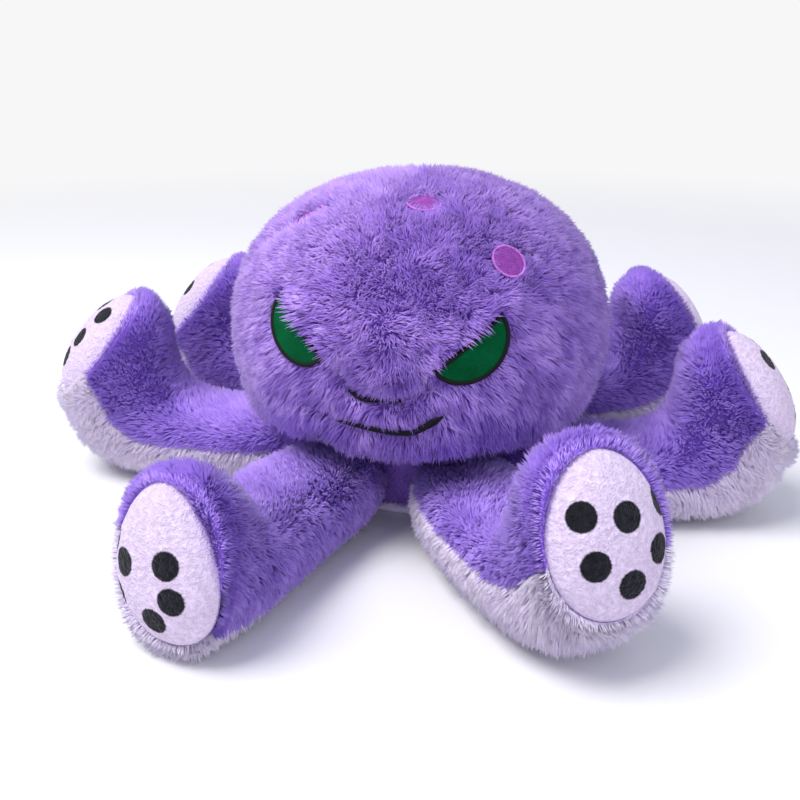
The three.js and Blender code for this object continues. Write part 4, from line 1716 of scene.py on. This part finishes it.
def armFurPlan(arm, rows, normals):
    # what both of an arm's furs share, with a place for each end's middle point after the rows
    s = armPlanSet
    count, columns = rows.shape[:2]
    row = np.append(np.repeat(np.arange(count), columns), [0, count - 1])
    rim, brink = [smoothStep(count - s[key][0], count - s[key][1], row) for key in ("rim", "brink")]
    insets = refined(armSections(arm), armSet["steps"])[:, 6]
    insets = np.append(insets, [insets[-1]] * 2)
    pile = np.append(np.repeat(np.clip(insets / armSet["furDepth"], s["leastPile"], 1), columns), [1, 1])
    pile = np.where(row > count - s["bootRows"], s["bootPile"], pile) * (1 + s["brinkPile"] * brink)
    cover = smoothStep(*s["lyingOn"], -normals[:, 2]) * (1 - s["lyingCover"]) + s["lyingCover"]
    root = s["rootCover"] + (1 - s["rootCover"]) * smoothStep(*s["root"], row / (count - 1))
    cover = cover * root * (1 + s["rimCover"] * rim)
    facing = padFacing(arm) * s["rimFacing"] * rim[:, None] * (1 + s["brinkFacing"] * brink[:, None])
    return {"cover": cover, "pile": pile, "wild": 1 + s["rimWild"] * rim, "turnTo": facing}, rim, brink


def makeArm(arm, seed):
    s = armPlanSet
    body, rows, points, faces, looks = armBody(arm)
    normals = vertexNormals(body)
    along = np.zeros_like(rows)
    along[1:-1] = rows[2:] - rows[:-2]
    along[0], along[-1] = along[1], along[-2]
    outward = rows - rows.mean(1, keepdims=True)
    along, outward = [np.vstack([unit(ways.reshape(-1, 3)), np.zeros((2, 3))]) for ways in (along, outward)]
    down = np.array([0, 0, -1.0]) - normals * -normals[:, 2:3]
    plan, rim, brink = armFurPlan(arm, rows, normals)
    # painted light and shade by which way the fur faces, lighter on top and darker underneath; lighter at the
    # brink too
    tint = s["tone"] + s["topPaintedLight"] * normals[:, 2] + s["brinkTone"] * brink
    rimShare, brinkShare = rim[:, None], brink[:, None]
    for index, fur in enumerate(armFurs):
        kept = [face for face, look in zip(faces, looks) if look == index]
        growth = meshObject("growth", points, kept)
        middle = len(kept) // 2
        if growth.data.polygons[middle].normal.dot(Vector(normals[kept[middle][0]])) < 0:
            growth.data.flip_normals()
        comb = along * (fur["along"] + (s["rimAlong"] - fur["along"]) * rimShare)
        comb = comb + down * fur["down"] * (1 - rimShare)
        plan["comb"] = comb * (1 - brinkShare) + outward * s["brinkOut"] * brinkShare
        # painted shade on the top fur round the pad, short of the brink
        plan["tint"] = tint - fur["rimPaintedShade"] * rim * (1 - brink)
        name = "arm" + arm["name"] + fur["part"]
        grown = growFur(name, growth, plan, fur["fur"], fur["look"], seed + fur["seed"])
        removeObject(growth)
        swing(grown, arm, fur["node"])
    swing(body, arm, "stuffing")


for index, arm in enumerate(arms):
    makeArm(arm, seeds["arms"] + index)
print("arms made")


# Pads: stuffed soles with a short nap and printed dots, placed as shares of the half height and half width
padDotRadius = 6.2
padDots = {
    "FrontLeft": [(0.14, 0.34), (0.02, -0.54), (0.2, -0.92), (-0.29, 0.41), (-0.44, -0.79), (-0.62, 0.01)],
    "FrontRight": [(0.31, -0.56), (0.24, 0.13), (0.32, 0.87), (-0.26, -0.44), (-0.2, 0.69), (-0.54, 0.14)],
    "MiddleLeft": [(0.47, 0.36), (-0.08, 0.28), (-0.52, 0.1), (-0.4, -0.48), (0.12, -0.62), (0.56, -0.25)],
    "MiddleRight": [(0.34, -0.1), (0.62, 0.45), (0.12, 0.5), (-0.3, 0.3), (-0.7, 0.1), (-0.2, 0.85)],
    "BackLeft": [(0.05, 0.35), (-0.4, -0.1), (-0.75, -0.4), (-0.22, -0.65), (0.26, -0.6), (0.55, -0.25)],
    "BackRight": [(0.36, 0.0), (0.62, 0.5), (0.12, 0.55), (-0.3, 0.3), (-0.7, 0.1), (-0.2, 0.85)],
}

seamSet = {"points": 400, "margin": 0.2, "rise": 0.5, "step": 1.7, "stitch": 1.75, "thread": 0.42}


def padDome(share):
    s = padSet
    return s["gap"] + s["height"] * np.maximum(0, 1 - share ** s["domePower"]) ** s["domeRoot"]


def addNap(up, aside, out, share, turn, shift):
    # the uneven nap, and the puckers where the pad is gathered at its seam
    s = padSet
    for i in range(s["rings"]):
        for j in range(s["columns"]):
            spot = Vector((up[i, j], aside[i, j], out[i, j])) + shift
            nap = mathNoise.noise(spot / s["napScale"])
            nap += s["fineNap"] * mathNoise.noise(spot / s["fineScale"])
            around = Vector((math.cos(turn[i, j]), math.sin(turn[i, j]), 0))
            gather = mathNoise.noise(around * s["puckerCount"] / s["puckerLap"] + shift)
            gather *= bell(share[i, j], 1, s["puckerReach"])
            clear = min(1, (1 - share[i, j]) * s["edgeFade"])
            out[i, j] += clear * (s["nap"] * nap + s["pucker"] * gather)


def fromDots(arm, up, aside, out):
    # distance to the edge of the nearest dot, measured over the dome
    s = padSet
    away = np.full(up.shape, s["farAway"])
    for dotUp, dotAside in padDots[arm["name"]]:
        centreUp = dotUp * s["length"] / 2
        centreAside = dotAside * s["width"] / 2 - arm["lean"] * centreUp
        centreOut = padDome(np.array(min(1, math.hypot(dotUp, dotAside))))
        reach = np.sqrt((up - centreUp) ** 2 + (aside - centreAside) ** 2 + (out - centreOut) ** 2)
        away = np.minimum(away, reach - padDotRadius)
    return np.append(away.ravel(), [s["tipAway"]] * 2)


def makePad(arm, seed):
    s = padSet
    turns = np.linspace(0, 2 * math.pi, s["columns"], endpoint=False)
    shares = np.sin(np.linspace(math.pi / 2, 0, s["rings"], endpoint=False)) ** s["ringPower"]
    share, turn = np.meshgrid(shares, turns, indexing="ij")
    up, aside = padPlan(arm, share, turn)
    out = padDome(share)
    addNap(up, aside, out, share, turn, Vector((seed * s["seedStep"], 0, 0)))
    middles = [padMiddle(arm, reach)[0] for reach in (s["gap"], s["gap"] + s["height"])]
    points, faces = closedTube(padPoints(arm, up, aside, out), middles)
    pad = meshObject("pad" + arm["name"], points, faces, [padLook])
    facesOutward(pad)
    setAttribute(pad, "fromDot", fromDots(arm, up, aside, out))
    settle(pad, "arm_" + arm["node"], "pad_velour", "arm_" + arm["node"] + "_pad")


def makePadSeam(arm, seed):
    # thread where the pad meets the fur
    s = seamSet
    turns = np.linspace(0, 2 * math.pi, s["points"], endpoint=False)
    level = np.full(s["points"], padSet["gap"] + s["rise"])
    rim = padPoints(arm, *padPlan(arm, 1.0, turns, s["margin"]), level)
    path = evenPath(rim, s["step"], True)
    facing = np.repeat(padFacing(arm), len(path), 0)
    stitches = list(zip(path, waysRound(path), facing, np.full(len(path), s["stitch"])))
    seam = sew("pad" + arm["name"] + "Seam", stitches, s["thread"], s["thread"], seamThreadLook, seed)
    settle(seam, "arm_" + arm["node"], "black_thread")


for index, arm in enumerate(arms):
    makePad(arm, seeds["pads"] + index)
    makePadSeam(arm, seeds["pads"] + index)
print("pads made")

# Stage and light, in metres: the floor fades into the sky's colour away from the toy
stageSet = {
    "floor": (0.84, 0.84, 0.85),
    "sky": (0.93, 0.93, 0.94),
    "ambient": (0.57, 0.59, 0.70),
    "roughness": 0.9,
    "specular": 0.1,
    "half": 6,
    "fade": (0.35, 1.5),
}
lampSet = {
    "key": {"place": (-0.62, -0.44, 1.47), "size": 0.9, "watts": 25.0, "colour": (1.0, 0.98, 0.96)},
    "fill": {"place": (1.1, -0.9, 0.7), "size": 1.2, "watts": 4.0, "colour": (0.95, 0.97, 1.0)},
}
lampAim = (0, 0, 0.08)


def seenDirectly(tree):
    path = addNode(tree, "ShaderNodeLightPath")
    seen = sums(tree, "MAXIMUM", path.outputs["Is Camera Ray"], path.outputs["Is Glossy Ray"])
    return sums(tree, "MAXIMUM", seen, path.outputs["Is Transmission Ray"])


def makeFloor():
    s = stageSet
    corners = [(x * s["half"] / mm, y * s["half"] / mm, 0) for x, y in ((-1, -1), (1, -1), (1, 1), (-1, 1))]
    material, tree, shader = newMaterial("paleFloor", s)
    shader.inputs["Base Color"].default_value = rgba(s["floor"])
    sky = addNode(tree, "ShaderNodeEmission", {"Color": rgba(s["sky"])})
    away = vectorSums(tree, "LENGTH", addNode(tree, "ShaderNodeTexCoord").outputs["Object"])
    values = {"Value": away, "From Min": s["fade"][0], "From Max": s["fade"][1]}
    far = addNode(tree, "ShaderNodeMapRange", values, interpolation_type="SMOOTHSTEP")
    share = sums(tree, "MULTIPLY", far.outputs[0], seenDirectly(tree))
    blend = addNode(tree, "ShaderNodeMixShader", {0: share, 1: shader.outputs[0], 2: sky.outputs[0]})
    tree.links.new(blend.outputs[0], tree.nodes["Material Output"].inputs["Surface"])
    meshObject("floor", corners, [(0, 1, 2, 3)], [material])


def makeWorld():
    world = bpy.data.worlds.new("studio")
    world.use_nodes = True
    bpy.context.scene.world = world
    tree = world.node_tree
    colour = mixed(tree, seenDirectly(tree), rgba(stageSet["ambient"]), rgba(stageSet["sky"]))
    tree.links.new(colour, tree.nodes["Background"].inputs["Color"])


def makeLamps():
    for name, lamp in lampSet.items():
        data = bpy.data.lights.new(name, "AREA")
        data.size = lamp["size"]
        data.energy = lamp["watts"]
        data.color = lamp["colour"]
        light = bpy.data.objects.new(name, data)
        light.location = lamp["place"]
        aim = Vector(lampAim) - Vector(lamp["place"])
        light.rotation_euler = aim.to_track_quat("-Z", "Y").to_euler()
        bpy.context.scene.collection.objects.link(light)


makeFloor()
makeWorld()
makeLamps()
bpy.context.scene.view_settings.view_transform = "Standard"
print("stage made")

removeObject(strandShape)
removeObject(threadShape)
